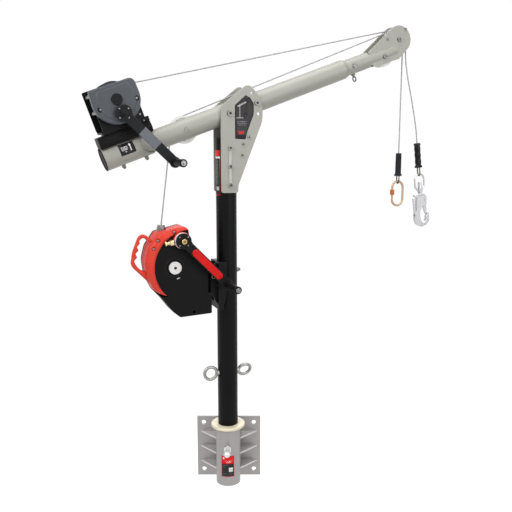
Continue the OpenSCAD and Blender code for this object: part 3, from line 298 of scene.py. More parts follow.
def evenly(points, step=1.0, count=None):
    """Even stations along a line of points: how far each lies from the start, and its place."""
    p = np.asarray(points, float)
    run = np.concatenate([[0], np.cumsum(np.linalg.norm(np.diff(p, axis=0), axis=1))])
    s = np.linspace(0, run[-1], count or int(run[-1] / step) + 3)
    return s, np.stack([np.interp(s, run, column) for column in p.T], -1)


def ringed(middle, side, other, radius, angles):
    """Rings round the points of a middle line, by angle from one square direction towards the other."""
    out = np.cos(angles)[:, None] * side[:, None] + np.sin(angles)[:, None] * other[:, None]
    return middle[:, None] + radius[..., None] * out


rope_steel = finish("drawn rope wire", (0.64, 0.64, 0.65), 0.52, metal=0.35, mottle=0.08, fine=2600,
                    raised=0.01, broad=60)
ACROSS = turned([0, 1, 0], YAW, 0, 1)
LANE = 10.5
LAY = 0.030


def rope(name, path, body=None, radius=0.0025, ring=0.0026, square=ACROSS, material=rope_steel):
    """Six round strands seen as one skin: the ring's radius is two thirds of the rope's times the cosine from
    a strand's middle, plus the rest of that strand's circle, and the ring turns once in each lay."""
    s, middle = evenly(path, ring)
    way = unit(np.gradient(middle, axis=0))
    side = unit(square - way * (way @ square)[:, None])
    a = circle(30)
    off = (a[None] - 2 * math.pi * s[:, None] / LAY) % (math.pi / 3) - math.pi / 6
    r = radius * (2 / 3 * np.cos(off) + np.sqrt(1 / 9 - 4 / 9 * np.sin(off) ** 2))
    return laid(name, ringed(middle, side, np.cross(way, side), r, a), material, body)


def bend(centre, r, start, end, steps=40):
    """Points of an arc in the upright plane, by its middle, radius and two angles in degrees."""
    a = np.radians(np.linspace(start, end, steps))
    return np.stack([centre[0] + r * np.cos(a), centre[1] + r * np.sin(a)], -1)


def over(c1, r1, c2, r2):
    """The angle, in degrees, of the line that lies on top of two wheels."""
    v = np.subtract(c2, c1)
    return math.degrees(math.atan2(v[1], v[0]) - math.asin((r1 - r2) / math.hypot(*v)))


def way_of(angle):
    """The unit step in a direction given in degrees."""
    return np.array([math.cos(math.radians(angle)), math.sin(math.radians(angle))])


def in_lane(points, lane):
    """Points of the upright plane set at one distance across it."""
    p = np.atleast_2d(points)
    return spread(p[:, 0], lane, p[:, 1])


WINCH, GUIDE, HEAD = np.array([-364.0, 172]), np.array([-167.0, 0]), np.array([759.0, 33])
WOUND_R, GUIDE_R, HEAD_R = 44.0, 45.0, 40.0
winch_way = over(WINCH, WOUND_R, HEAD, HEAD_R)
block_way = over(GUIDE, GUIDE_R, HEAD, HEAD_R)


def over_head(angle, lane):
    """Over the head's sheave and 5 mm on down."""
    arc = bend(HEAD, HEAD_R, 90 + angle, -20)
    return in_lane(np.vstack([arc, arc[-1] + 5 * way_of(-110)]), lane)


leaves_drum = WINCH + WOUND_R * way_of(winch_way + 90) + 5 * way_of(winch_way)
winch_span = rope("winch_rope_over_boom",
                  boom(np.vstack([in_lane(leaves_drum, LANE), over_head(winch_way, LANE)])))
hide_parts("winch_rope_span")
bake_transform(winch_span, "boom", "inner_boom", start=boom([-250, LANE, 215]), end=boom([690, LANE, 80]))

outlet_top = turned([-246, 0, -399], -LUFF, 0, 2)[[0, 2]]
outlet_out = turned([-246, 0, -391], -LUFF, 0, 2)[[0, 2]]
rise_way = over(outlet_out, 0, GUIDE, GUIDE_R)
rise_end = GUIDE + GUIDE_R * way_of(rise_way + 90) - 5 * way_of(rise_way)
block_span = rope("block_rope_over_boom", boom(np.vstack([
    in_lane(rise_end, 0), in_lane(bend(GUIDE, GUIDE_R, 90 + rise_way, 90 + block_way, 30), 0),
    over_head(block_way, -LANE)])))
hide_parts("block_rope_span")
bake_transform(block_span, "boom", "inner_boom", start=boom([-120, 0, 45]), end=boom([690, -LANE, 75]))

block_rise = rope("block_rope_up", boom(in_lane([outlet_top, outlet_out, rise_end], 0)))
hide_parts("block_rope_rise")
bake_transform(block_rise, "mast", "boom", start=heading([-246, 0, -385]), end=boom(in_lane(rise_end, 0)[0]))

PITCH, TURNS = 5.5, 6
u = np.linspace(0, TURNS, TURNS * 72)
wrap = np.radians(90 + winch_way + 360 * (TURNS - u))
coil = spread(WINCH[0] + WOUND_R * np.cos(wrap), LANE - PITCH * (TURNS - u),
              WINCH[1] + WOUND_R * np.sin(wrap))
wound = rope("rope_on_drum", boom(np.vstack([coil, in_lane(leaves_drum, LANE)])), "winch_drum")
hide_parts("wound_rope")

HANG = turned([HEAD[0], 0, HEAD[1]], LUFF, 0, 2)[[0, 2]] + [HEAD_R, -5]


def hanging(name, node, offsets, lane, end_body):
    """A rope that hangs from the head through the given offsets, with its fittings on its lower end."""
    path = heading(in_lane(HANG + offsets, lane))
    drop = rope(name, path)
    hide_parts(node)
    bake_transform(drop, "inner_boom", end_body, start=path[0] - [0, 0, 0.01], end=path[-1] + [0, 0, 0.01])


straight = np.stack([np.zeros(33), -430 * np.linspace(0, 1, 33)], -1)
hanging("winch_rope_hanging", "winch_rope_drop", straight, LANE, "winch_line_end")
knots = np.array([[0, -6], [0, -22], [3, -70], [13, -125], [27, -180], [41, -235], [54, -290], [65, -345],
                  [70, -384]], float)
before, after = knots[[0, *range(8)]][:8], knots[[*range(2, 9), 8]]
t = np.linspace(0, 1, 4, endpoint=False)[None, :, None]
a, b, c, d = (k[:, None] for k in (before, knots[:-1], knots[1:], after))
curve = 0.5 * (2 * b + (c - a) * t + (2 * a - 5 * b + 4 * c - d) * t ** 2 + (3 * b - a - 3 * c + d) * t ** 3)
LEAN = math.radians(7)
last = knots[-1:]
bowed = np.vstack([[[0, 0]], curve.reshape(-1, 2), last, last + 6 * way_of(math.degrees(LEAN) - 90)])
hanging("block_rope_hanging", "block_rope_drop", bowed, -LANE, "block_line_end")


# The wall socket. Steel plate, tube and three pairs of gussets, welded together and hot-dip galvanised;
# four anchors hold it to the wall. The zinc has dulled to a satin grey.
zinc = finish("dull hot-dip zinc", (0.63, 0.615, 0.61), 0.38, metal=0.45, mottle=0.02, broad=26, fine=420,
              raised=0.012, uneven=0.04)
# The gussets' zinc is painted paler than the rest: a painted highlight that stands for the light on their top
# faces.
gusset_zinc_painted_lit = finish("newer zinc on the gussets", (0.80, 0.79, 0.785), 0.36, metal=0.35, mottle=0.03,
                     broad=60, fine=420, raised=0.02, uneven=0.04)
CORNER = 34


def edge_wear_and_highlight(material, share):
    """The same finish on rounded corners, paler by this share: partly rubbed wear, and partly a painted
    highlight where the edges catch the light.
    """
    wear_and_highlight = material.copy()
    wear_and_highlight.name = material.name + " at edges"
    for stop in wear_and_highlight.node_tree.nodes["shade"].color_ramp.elements:
        stop.color = (*np.clip(np.array(stop.color)[:3] * share + 0.012, 0, 1), 1)
    return wear_and_highlight


def round_about(mesh, start, end):
    """Normals square to the line from start to end, wherever a face already points within ten degrees of
    that, so that a tube's long facets shade as one round surface; the others keep theirs, split at sharp
    corners."""
    mesh.set_sharp_from_angle(angle=math.radians(CORNER))
    normals = np.zeros(len(mesh.loops) * 3)
    mesh.corner_normals.foreach_get("vector", normals)
    normals = normals.reshape(-1, 3)
    facing = np.zeros(len(mesh.polygons) * 3)
    mesh.polygons.foreach_get("normal", facing)
    sides = np.zeros(len(mesh.polygons), int)
    mesh.polygons.foreach_get("loop_total", sides)
    facing = np.repeat(facing.reshape(-1, 3), sides, axis=0)
    corners = np.zeros(len(mesh.loops), int)
    mesh.loops.foreach_get("vertex_index", corners)
    points = np.zeros(len(mesh.vertices) * 3)
    mesh.vertices.foreach_get("co", points)
    way = unit(end - start)
    out = points.reshape(-1, 3)[corners] - start
    out -= (out @ way)[:, None] * way
    out /= np.maximum(np.linalg.norm(out, axis=1, keepdims=True), 1e-9)
    match = (out * facing).sum(1)
    normals = np.where(np.abs(match)[:, None] > 0.985, out * np.sign(match)[:, None], normals)
    mesh.normals_split_custom_set(normals.tolist())


def eased(node, material, width, share=1.25, corner=CORNER, about=None):
    """A copy of a CAD piece with its triangles joined into whole faces and its corners rounded by so many mm,
    or, where it is a tube about a line, with the shading of a round tube."""
    source = frame["nodes"][node]
    mesh = source.data.copy()
    for layer in [x for x in mesh.attributes if x.name == "custom_normal"]:
        mesh.attributes.remove(layer)
    shell = bmesh.new()
    shell.from_mesh(mesh)
    bmesh.ops.remove_doubles(shell, verts=shell.verts, dist=3e-6)
    if about is None:
        bmesh.ops.dissolve_limit(shell, angle_limit=math.radians(0.5), verts=shell.verts, edges=shell.edges)
    shell.to_mesh(mesh)
    shell.free()
    mesh.polygons.foreach_set("use_smooth", np.ones(len(mesh.polygons), bool))
    mesh.materials.clear()
    mesh.materials.append(material)
    # The rounded corners take the paler copy: wear and a painted highlight along the edges.
    mesh.materials.append(edge_wear_and_highlight(material, share))
    mesh.polygons.foreach_set("material_index", np.zeros(len(mesh.polygons), int))
    skin = bpy.data.objects.new(node + "_finished", mesh)
    bpy.context.scene.collection.objects.link(skin)
    if about is None:
        rounded = skin.modifiers.new("rounded corners", "BEVEL")
        rounded.width = width / 1000
        rounded.segments = 2
        rounded.limit_method = "ANGLE"
        rounded.angle_limit = math.radians(corner)
        rounded.harden_normals = True
        rounded.use_clamp_overlap = False
        rounded.material = 1
    else:
        round_about(mesh, *about)
    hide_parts(node)
    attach(skin, source["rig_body"])


eased("wall_plate", zinc, 0.8)
eased("socket_tube", zinc, 0.9)
eased("gussets", gusset_zinc_painted_lit, 0.9)

# Fillet welds along both sides of every gusset, on the tube and on the plate. Each is a row of
# small overlapping ripples, laid by hand and galvanised with the rest.
MAST = np.array([0, -76.0])
TUBE_R = 47.5
BEAD_R, RIPPLE = 2.6, 3.2


def weld(name, path):
    """A bead along a path: a ring that swells by a seventh with each ripple and tapers at both ends."""
    s, middle = evenly(path, 0.8)
    way = unit(np.gradient(middle, axis=0))
    side = unit(np.cross(way, np.where(np.abs(way[:, 2:]) > 0.8, [[1.0, 0, 0]], [[0.0, 0, 1]])))
    taper = np.clip(np.minimum(s, s[-1] - s) / 4, 0.25, 1)
    radius = BEAD_R * taper * (1 + 0.15 * np.abs(np.sin(math.pi * s / RIPPLE)))
    bead = ringed(middle, side, np.cross(side, way), radius[:, None], circle(10))
    laid(name, bead / 1000, zinc, "socket")


seam_r = TUBE_R + 0.8
for level, height in ((-63, "low"), (0, "middle"), (63, "high")):
    for side, hand in ((-1, "left"), (1, "right")):
        for face, facing in ((-1, "under"), (1, "over")):
            z = level + face * 4.4
            a = np.radians(np.linspace(90 - side * 86, 90 - side * 28, 20))
            tag = f"{height}_{hand}_{facing}"
            weld("weld_tube_" + tag, spread(seam_r * np.cos(a), MAST[1] + seam_r * np.sin(a), z))
            weld("weld_plate_" + tag, spread(side * np.linspace(50, 106, 16), -11.0, z))


# The sticker on the front of the socket. Printed vinyl wrapped round the tube: a red head, a dark
# field with a white square, faint lines across it, and a red border.
def between(tree, value, low, high):
    """One where the value lies between two limits, and nought outside them."""
    above, below = maths(tree, "GREATER_THAN", value, low), maths(tree, "LESS_THAN", value, high)
    return maths(tree, "MULTIPLY", above, below)


def printed(name, ground, blocks, bars=()):
    """Vinyl of one ground colour, with blocks printed on it: each is a colour and the box (left, right, low,
    high) that it fills in the label's own square. Bars are blocks broken into short dashes by a noise."""
    m = finish(name, ground, 0.42, mottle=0.03, fine=1500, raised=0.005, shine=0.25)
    tree = m.node_tree
    sheet = tree.nodes["Texture Coordinate"].outputs["UV"]
    across = wired(tree, "ShaderNodeSeparateXYZ", {0: sheet}, out="X")
    up = wired(tree, "ShaderNodeSeparateXYZ", {0: sheet}, out="Y")
    flat = wired(tree, "ShaderNodeMapping", {"Vector": sheet, "Scale": (1, 0.3, 1)})
    dashes = wired(tree, "ShaderNodeTexNoise", {"Vector": flat, "Scale": 38.0, "Detail": 0.0})
    broken = between(tree, dashes, 0.46, 2.0)
    colour = tree.nodes["shade"].outputs["Color"]
    for row, dashed in [(x, False) for x in blocks] + [(x, True) for x in bars]:
        ink, (left, right, low, high) = row
        mask = maths(tree, "MULTIPLY", between(tree, across, left, right), between(tree, up, low, high))
        if dashed:
            mask = maths(tree, "MULTIPLY", mask, broken)
        colour = wired(tree, "ShaderNodeMix", {0: mask, 6: colour, 7: tint(ink)}, out=2, data_type="RGBA")
    tree.links.new(colour, tree.nodes["Principled BSDF"].inputs["Base Color"])
    return m


def on_sheet(sheet, places, thick, offset):
    """A sheet's print layer, which says how far across and up the print each of its points lies, and its
    thickness in mm."""
    spot = np.zeros(len(sheet.data.loops), int)
    sheet.data.loops.foreach_get("vertex_index", spot)
    sheet.data.uv_layers.new(name="print").data.foreach_set("uv", places[spot].ravel())
    wall = sheet.modifiers.new("thickness", "SOLIDIFY")
    wall.thickness = thick / 1000
    wall.offset = offset


def label(name, grid, material, body):
    """A thin sheet on a surface: the grid's rows run up the label and its columns from left to right."""
    sheet = laid(name, grid, material, None, around=False, ends=False)
    rows, cols = grid.shape[:2]
    places = spread(np.linspace(0, 1, cols), np.linspace(0, 1, rows)[:, None])
    on_sheet(sheet, places.reshape(-1, 2), 0.2, 1)
    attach(sheet, body)


def mast_patch(radius, centre, half, low, high, cols=9):
    """A patch of a cylinder about the mast's axis: its radius, the angle of its middle and half its width in
    degrees, and its two levels."""
    a = np.radians(np.linspace(centre - half, centre + half, cols))
    return spread(radius * np.cos(a), MAST[1] + radius * np.sin(a), np.linspace(low, high, 3)[:, None]) / 1000


RED, DARK, PALE, GREY = (0.84, 0.05, 0.04), (0.10, 0.10, 0.11), (0.93, 0.93, 0.92), (0.50, 0.50, 0.51)
round_tube = mast_patch(TUBE_R + 0.1, -90, 31, -75, 11, cols=25)
label("socket_sticker", round_tube, printed("socket sticker vinyl", RED, [
    (DARK, (0.04, 0.96, 0.03, 0.62)), (PALE, (0.58, 0.88, 0.24, 0.44)), (GREY, (0.72, 0.735, 0.24, 0.44)),
    (GREY, (0.58, 0.88, 0.335, 0.345)), (PALE, (0.12, 0.24, 0.86, 0.92))],
    bars=[(PALE, (0.30, 0.80, 0.74, 0.765)), (PALE, (0.40, 0.74, 0.68, 0.70)),
          (GREY, (0.10, 0.50, 0.54, 0.56)), (GREY, (0.10, 0.40, 0.46, 0.475)),
          (GREY, (0.10, 0.88, 0.14, 0.155)), (GREY, (0.10, 0.88, 0.08, 0.095))]), "socket")


# The bushes. Two turned cream nylon rings, pressed into the socket, that the mast turns in.
# The upper one has a broad rounded flange; nylon is a little waxy and takes fine scores.
nylon = finish("cream nylon", (0.91, 0.87, 0.76), 0.42, mottle=0.04, broad=30, fine=700, uneven=0.06)
nylon.node_tree.nodes["Principled BSDF"].inputs["Subsurface Weight"].default_value = 0.12
nylon.node_tree.nodes["Principled BSDF"].inputs["Subsurface Radius"].default_value = (0.004, 0.003, 0.002)
rim = [(62 + 3 * math.cos(t), 126 + 3 * math.sin(t)) for t in np.linspace(0, math.pi / 2, 9)]
bush_profile = np.array([
    (38.1, 129), (38.1, 76.4), (38.5, 76), (41.5, 76), (41.9, 76.4), (41.9, 118), (61.6, 118), (63.6, 118.5),
    (65, 120.2), *rim, (39.2, 129), (38.5, 128.8), (38.1, 128.4)])
r, h, a = bush_profile[:, :1], bush_profile[:, 1:], circle(120)
bush = laid("upper_bush_turned", spread(r * np.cos(a), MAST[1] + r * np.sin(a), h) / 1000, nylon, "socket",
            ends=False)
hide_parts("upper_bush")
eased("lower_bush", nylon, 0.7, share=1.05)


# The locking bolt. A zinc-plated bolt with a domed nut, screwed through the boss on the socket's front;
# its threads show between the boss and the nut.
bolt_zinc = finish("bright zinc plate", (0.40, 0.40, 0.39), 0.30, metal=0.95, mottle=0.09, broad=90,
                   fine=1200, raised=0.02, uneven=0.10)


def threaded(material, name, pitch, depth=0.25):
    """The same metal with a thread: a sine along the piece's second axis, of this pitch and depth in mm."""
    m = material.copy()
    m.name = name
    tree = m.node_tree
    skin = tree.nodes["Bump"].outputs[0]
    where = tree.nodes["Texture Coordinate"].outputs["Object"]
    wave = wired(tree, "ShaderNodeTexWave", {"Vector": where, "Scale": 1000 / pitch / 20 * math.pi}, out=1,
                 bands_direction="Y")
    thread = wired(tree, "ShaderNodeBump", {"Height": wave, "Normal": skin, "Strength": 0.8,
                                            "Distance": depth / 1000})
    tree.links.new(thread, tree.nodes["Principled BSDF"].inputs["Normal"])
    return m


new_zinc = finish("new zinc plate", (0.86, 0.86, 0.85), 0.24, metal=0.7, mottle=0.03, broad=90, fine=1200,
                  raised=0.01, uneven=0.04)
eased("lock_bolt", threaded(new_zinc, "threaded zinc plate", 2.0), 0.4)
# A jam nut of the same bright plate sits against the boss.
a = circle(60)
hexagon = 13.2 / np.cos((a + math.pi / 6) % (math.pi / 3) - math.pi / 6)
jam = np.stack([spread(r * np.cos(a), y, r * np.sin(a)) for r, y in (
    (8.4, 0), (hexagon - 0.6, 0), (hexagon, -0.6), (hexagon, -7.2), (np.minimum(hexagon, 13.7), -8.0),
    (12.2, -8.6), (8.6, -8.6), (8.2, -8.0))])
laid("lock_jam_nut", (jam + [0, MAST[1] - 57.6, 45]) / 1000, new_zinc, "lock_bolt")


# The mast. A round steel tube, powder coated satin black, with a plug in its open top. The coating
# has a fine orange skin and a few dull patches from hands and weather.
black_coat = finish("satin black powder coat", (0.030, 0.031, 0.037), 0.40, mottle=0.14, broad=9, fine=1500,
                    raised=0.015, uneven=0.07, shine=0.12)
black_plastic = finish("black moulded plastic", (0.065, 0.065, 0.07), 0.52, mottle=0.10, broad=24,
                       fine=1900, uneven=0.06, shine=0.14)
MAST_LINE = (np.array([0, -0.076, 0]), np.array([0, -0.076, 1.0]))
eased("mast_tube", black_coat, 0.8, about=MAST_LINE)
eased("mast_plug", black_plastic, 1.2, share=1.5)

# A narrow caution strip runs down the mast's left side under the head: red, then black with two
# columns of small grey marks.
label("mast_strip", mast_patch(38.1, 210, 28, 1012, 1175), printed("mast strip vinyl", DARK, [
    (RED, (0.0, 1.0, 0.87, 1.0)), (PALE, (0.0, 1.0, 0.82, 0.86)), (PALE, (0.45, 0.85, 0.12, 0.20)),
    (RED, (0.93, 1.0, 0.0, 0.82)), (RED, (0.0, 1.0, 0.0, 0.02))],
    bars=[(GREY, (0.40, 0.52, 0.24, 0.78)), (GREY, (0.62, 0.74, 0.24, 0.78))]), "mast")


# The head. Two 8 mm steel plates, one on each side of the mast, carry the boom on one big bolt;
# flat straps spread the load of the three bolts under it. All powder coated warm light grey.
grey_coat = finish("warm grey powder coat", (0.63, 0.625, 0.592), 0.42, mottle=0.03, broad=7, fine=1400,
                   raised=0.015, uneven=0.06, shine=0.4)
strap_coat = finish("pale strap coat", (0.715, 0.705, 0.665), 0.40, mottle=0.03, broad=20, fine=1400,
                    raised=0.015)
eased("head_plates", grey_coat, 1.0, share=1.12)
eased("head_straps", strap_coat, 0.6, share=1.1)
for node in ("head_bolts", "pivot_bolt", "bracket_bolt"):
    eased(node, bolt_zinc, 0.35)


def fronts(node):
    """Where each bolt of a node faces the viewer, in the head's frame: its front's middle and its radius."""
    shell = bmesh.new()
    shell.from_mesh(frame["nodes"][node].data)
    bmesh.ops.remove_doubles(shell, verts=shell.verts, dist=1e-6)
    seen, found = set(), []
    for first in shell.verts:
        solid = [] if first in seen else [first]
        seen.add(first)
        for spot in solid:
            near = [side.other_vert(spot) for side in spot.link_edges]
            solid += [other for other in near if other not in seen]
            seen.update(near)
        if solid:
            p = turned(np.array([spot.co[:] for spot in solid]) * 1000 - PIVOT, -YAW, 0, 1)
            face = p[p[:, 1] < p[:, 1].min() + 0.2]
            x, z = (face[:, k].min() / 2 + face[:, k].max() / 2 for k in (0, 2))
            found.append((x, face[0, 1], z, np.hypot(face[:, 0] - x, face[:, 2] - z).max()))
    shell.free()
    return found


def rounded(corners, steps=7):
    """An outline whose corners (x, z, radius) are arcs that meet both of their sides."""
    c = np.array(corners, float)
    at, r = c[:, :2], c[:, 2]
    u, v = unit(np.roll(at, 1, 0) - at), unit(np.roll(at, -1, 0) - at)
    half = np.arccos(np.clip((u * v).sum(1), -1, 1)) / 2
    middle = at + unit(u + v) * (r / np.sin(half))[:, None]
    first, last = (at + side * (r / np.tan(half))[:, None] - middle for side in (u, v))
    start = np.arctan2(first[:, 1], first[:, 0])
    sweep = np.arctan2(first[:, 0] * last[:, 1] - first[:, 1] * last[:, 0], (first * last).sum(1))
    a = start[:, None] + sweep[:, None] * np.linspace(0, 1, steps)
    return (middle[:, None] + r[:, None, None] * np.stack([np.cos(a), np.sin(a)], -1)).reshape(-1, 2)


def across_to_camera(pixels, plane):
    """Where the camera's ray through each point of its picture meets a plane of the head's frame, in mm."""
    right, down = (np.array(pixels, float) - FRAME_WIDTH / 2).T / (LENS / SENSOR * FRAME_WIDTH)
    ray = spread(right, math.cos(TILT) - down * math.sin(TILT), -math.sin(TILT) - down * math.cos(TILT))
    eye = turned(np.array(camera.location) * 1000 - PIVOT, -YAW, 0, 1)
    ray = turned(ray, -YAW, 0, 1)
    far = (plane - eye[1]) / ray[:, 1]
    return eye[[0, 2]] + far[:, None] * ray[:, [0, 2]]


# The black data plate on the near head plate: a thin printed sheet with rounded corners, a plain
# line drawing, grey lines and one red bar.
PLATE_FACE = -46.4
edge = across_to_camera([(245.8, 95.0), (234.8, 105), (235.1, 138.8), (245.6, 139.4), (247.4, 131.5),
                         (253.9, 113.5), (253.7, 103.5), (250.2, 97.6)], PLATE_FACE)
ring = rounded([(x, z, r) for (x, z), r in zip(edge, (5, 5, 3.5, 3.5, 10, 60, 30, 20))])
fan = ring.mean(0) + np.linspace(0.02, 1, 6)[:, None, None] * (ring - ring.mean(0))
fan = np.concatenate([fan, fan[:, :1]], 1)
LINES = (0.62, 0.62, 0.61)
drawing = [((0.72, 0.72, 0.71), (0.14 + 0.09 * k, 0.24 + 0.09 * k, 0.745 + 0.02 * k, 0.77 + 0.02 * k))
           for k in range(5)]
plate_print = printed("data plate print", (0.155, 0.135, 0.15), [
    (LINES, (0.24, 0.28, 0.50, 0.78)), (LINES, (0.08, 0.44, 0.478, 0.50)), *drawing],
    bars=[(GREY, (0.12, 0.62, 0.40, 0.415)), (GREY, (0.12, 0.62, 0.36, 0.375)),
          (GREY, (0.12, 0.56, 0.32, 0.335)), (RED, (0.16, 0.48, 0.12, 0.20))])
on_plate = heading(spread(fan[..., 0], PLATE_FACE - 0.1, fan[..., 1]))
plate_label = laid("head_data_plate", on_plate, plate_print, around=False, ends=False)
on_sheet(plate_label, (fan.reshape(-1, 2) - ring.min(0)) / (ring.max(0) - ring.min(0)), 0.3, 0)
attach(plate_label, "mast")


# The eye bolts. Forged rings on collared shanks, galvanised, one behind the mast and one ahead of it
# for guy lines; forging leaves a soft, slightly lumpy skin.
forged = finish("forged and galvanised", (0.60, 0.60, 0.585), 0.36, metal=0.85, mottle=0.10, broad=110,
                fine=300, raised=0.10, uneven=0.10)
eased("eye_bolts", forged, 0.5, corner=40)


# The block's bracket. A black casting clamped to the mast, with two ears that take the block's lug;
# a quick pin with a pull ring goes through all three.
cast_black = finish("black coated casting", (0.036, 0.036, 0.040), 0.50, mottle=0.14, broad=30, fine=520,
                    raised=0.07, shine=0.14)
steel = finish("bright steel", (0.50, 0.50, 0.50), 0.30, metal=1.0, mottle=0.05, broad=70, fine=1500,
               raised=0.02)
eased("block_bracket", cast_black, 1.0, share=1.7)
eased("release_pin", steel, 0.3)


# The block's black case. A deep pressing of black coated steel that fills the front behind the crank
# and runs down to the foot that hangs in the bracket.
case_black = finish("textured case black", (0.036, 0.036, 0.040), 0.50, mottle=0.10, broad=16, fine=1300,
                    raised=0.02, uneven=0.06, shine=0.12)
eased("block_case", case_black, 1.2, share=1.6)
eased("block_outlet", steel, 0.5)
boss_white = finish("pale turned boss", (0.86, 0.85, 0.84), 0.35, metal=0.1, mottle=0.03, broad=30)
eased("block_drum", boss_white, 0.8, share=1.05)


# The block's red cover. A thick moulding with rounded shoulders that wraps the black front from its
# top to its foot; two screws sit in moulded pockets and a third under the outlet.
cover_red = finish("red moulded cover", (0.84, 0.25, 0.19), 0.48, mottle=0.03, broad=12, fine=1600,
                   raised=0.02, uneven=0.05, shine=0.22)
BLOCK = rounded([(-163, -390, 16), (-270, -414, 14), (-304, -462, 34), (-317, -512, 60), (-309, -572, 50),
                 (-285, -622, 40), (-250, -662, 20), (-222, -700, 12), (-196, -722, 14), (-77, -717, 4),
                 (-76, -600, 30), (-90, -512, 14), (-130, -478, 14), (-163, -428, 12)])
FRONT, FRONT_R = np.array([-150.0, -540]), 136.1
FACE, BACK = -62, 17.7
POCKETS, POCKET_R = np.array([[-272.0, -440], [-287, -468], [-213, -412]]), 9.5


def reach(angles):
    """How far the block's outline lies from the front's middle, along each angle: the ray meets each side of
    the outline where the cross products agree, and the farthest hit counts."""
    way = np.stack([np.cos(angles), np.sin(angles)], -1)[:, None]
    p, q = BLOCK[None], np.roll(BLOCK, -1, 0)[None]
    side = q - p
    det = way[..., 0] * side[..., 1] - way[..., 1] * side[..., 0]
    gap = p - FRONT
    far = (gap[..., 0] * side[..., 1] - gap[..., 1] * side[..., 0]) / det
    at = (gap[..., 0] * way[..., 1] - gap[..., 1] * way[..., 0]) / det
    return np.where((at >= 0) & (at <= 1) & (far > 0), far, 0).max(1)


COLUMNS = 320
angles = np.radians(np.linspace(95.3, 224.5, COLUMNS))
narrow = np.clip((np.degrees(angles) - 208) / 17, 0, 1) ** 1.4
width = ((reach(angles) - FRONT_R) * (1 - 0.94 * narrow))[:, None]
share = np.clip(width / 22, 0.15, 1)
small, big, deep = 4 * share, 20 * share, 24 * share
q = np.linspace(0, math.pi / 2, 9)
crown = np.linspace(0, 1, 34)[1:-1]
far_out = np.concatenate([
    np.zeros((COLUMNS, 2)), small * (1 - np.cos(q)), small + (width - small - big) * crown,
    width - big * (1 - np.sin(q)), width * [1, 1, 1, 1, 0.66, 0.33]], 1)
depth = np.concatenate([
    np.full((COLUMNS, 2), [BACK, -40.0]), FACE + small * (1 - np.sin(q)),
    FACE - 1.6 * share * np.sin(math.pi * crown), FACE + deep * (1 - np.cos(q)),
    np.full((COLUMNS, 6), [-34.0, -18, 0, BACK, BACK, BACK])], 1)
flat_at = FRONT + (FRONT_R + far_out)[..., None] * np.stack([np.cos(angles), np.sin(angles)], -1)[:, None]
from_pocket = np.linalg.norm(flat_at[:, :, None] - POCKETS, axis=-1).min(2)
sunk = np.clip((POCKET_R - from_pocket) / 3.5, 0, 1)
depth = depth + np.where(depth < -45, 5.5 * sunk ** 2 * (3 - 2 * sunk), 0)
cover = laid("block_red_cover", heading(spread(flat_at[..., 0], depth, flat_at[..., 1])), cover_red, "mast")
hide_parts("block_cover")


def lathe(name, rings, material, body, places, facing=heading, turns=48):
    """A turned piece at each place (x, y, z): the profile (radius, distance towards the viewer) goes round an
    axis that runs across the crane."""
    r, w = np.array(rings, float).T[..., None]
    a = circle(turns)
    places = np.atleast_2d(places)
    for i, (x, y, z) in enumerate(places):
        laid(name if len(places) == 1 else f"{name}_{i + 1}",
             facing(spread(x + r * np.cos(a), y - w, z + r * np.sin(a))), material, body)


# The cover's screws: bright button heads at the bottom of their pockets.
lathe("cover_screw", [(4.6, -3), (4.6, 0.4), (4.0, 1.4), (2.6, 2.0), (2.2, 2.0), (2.0, 0.8), (0.4, 0.8)],
      steel, "mast", [(x, -56.8, z) for x, z in POCKETS], turns=28)

# The bearing that the crank turns in: a red boss moulded on the case, and a white nylon washer on it.
HUB = np.array([-188.0, -441])
lathe("crank_bearing_boss",
      [(20, -4), (29.2, -4), (29.4, 14), (28.6, 15.6), (27, 16.2), (8.6, 16.2), (8.6, -4)], cover_red,
      "mast", [(HUB[0], -54, HUB[1])], turns=64)
white_nylon = finish("white nylon washer", (0.90, 0.90, 0.89), 0.38, mottle=0.03)
lathe("crank_washer",
      [(8.6, 0), (27.4, 0), (28.6, 1), (28.6, 7), (27.6, 8), (20.5, 8), (20.5, 5), (8.6, 5)], white_nylon,
      "mast", [(HUB[0], -70.4, HUB[1])], turns=64)
# The head's bolts have a socket in their face, and the drum's boss has a screw hole in its middle; each is a
# thin near-black disc, painted shade where the hole is dark.
painted_hole_shade = finish("painted shade of a hole", (0.03, 0.03, 0.03), 0.6, mottle=0.02, raised=0.02)
bolt_faces = [face for node in ("head_bolts", "pivot_bolt") for face in fronts(node) if face[1] < PLATE_FACE]
for i, (x, y, z, r) in enumerate(bolt_faces):
    lathe(f"bolt_socket_{i + 1}", [(0.5 * r, -0.4), (0.5 * r, 0.1), (0.3, 0.1)], painted_hole_shade, "mast",
          (x, y, z), turns=24)
lathe("drum_boss_hole_shade", [(4.8, -1.5), (4.8, -0.2), (4.2, 0.15), (3.0, 0.15), (2.4, -0.8), (0.3, -0.8)],
      painted_hole_shade, "block_drum", [(-214, -68.1, -538)], turns=32)
# A small white index mark under the drum's boss, printed on the case.
across, up = np.meshgrid(np.linspace(-5.5, 5.5, 7), np.linspace(-1.7, 1.7, 3))
mark = turned(spread(across, 0, up), math.radians(21), 0, 2) + [-201, -54.1, -578]
label("index_mark", heading(mark), white_nylon, "mast")


# The carrying handle. A D of the same red moulding, rounded to the hand, with four scallops for the
# fingers on its inside; both ends run into the cover.
def squared(a, power):
    """The cosine and the sine of each angle, both raised to a power with their signs kept: below one, the
    power draws a circle out towards a square."""
    return [np.sign(share) * np.abs(share) ** power for share in (np.cos(a), np.sin(a))]


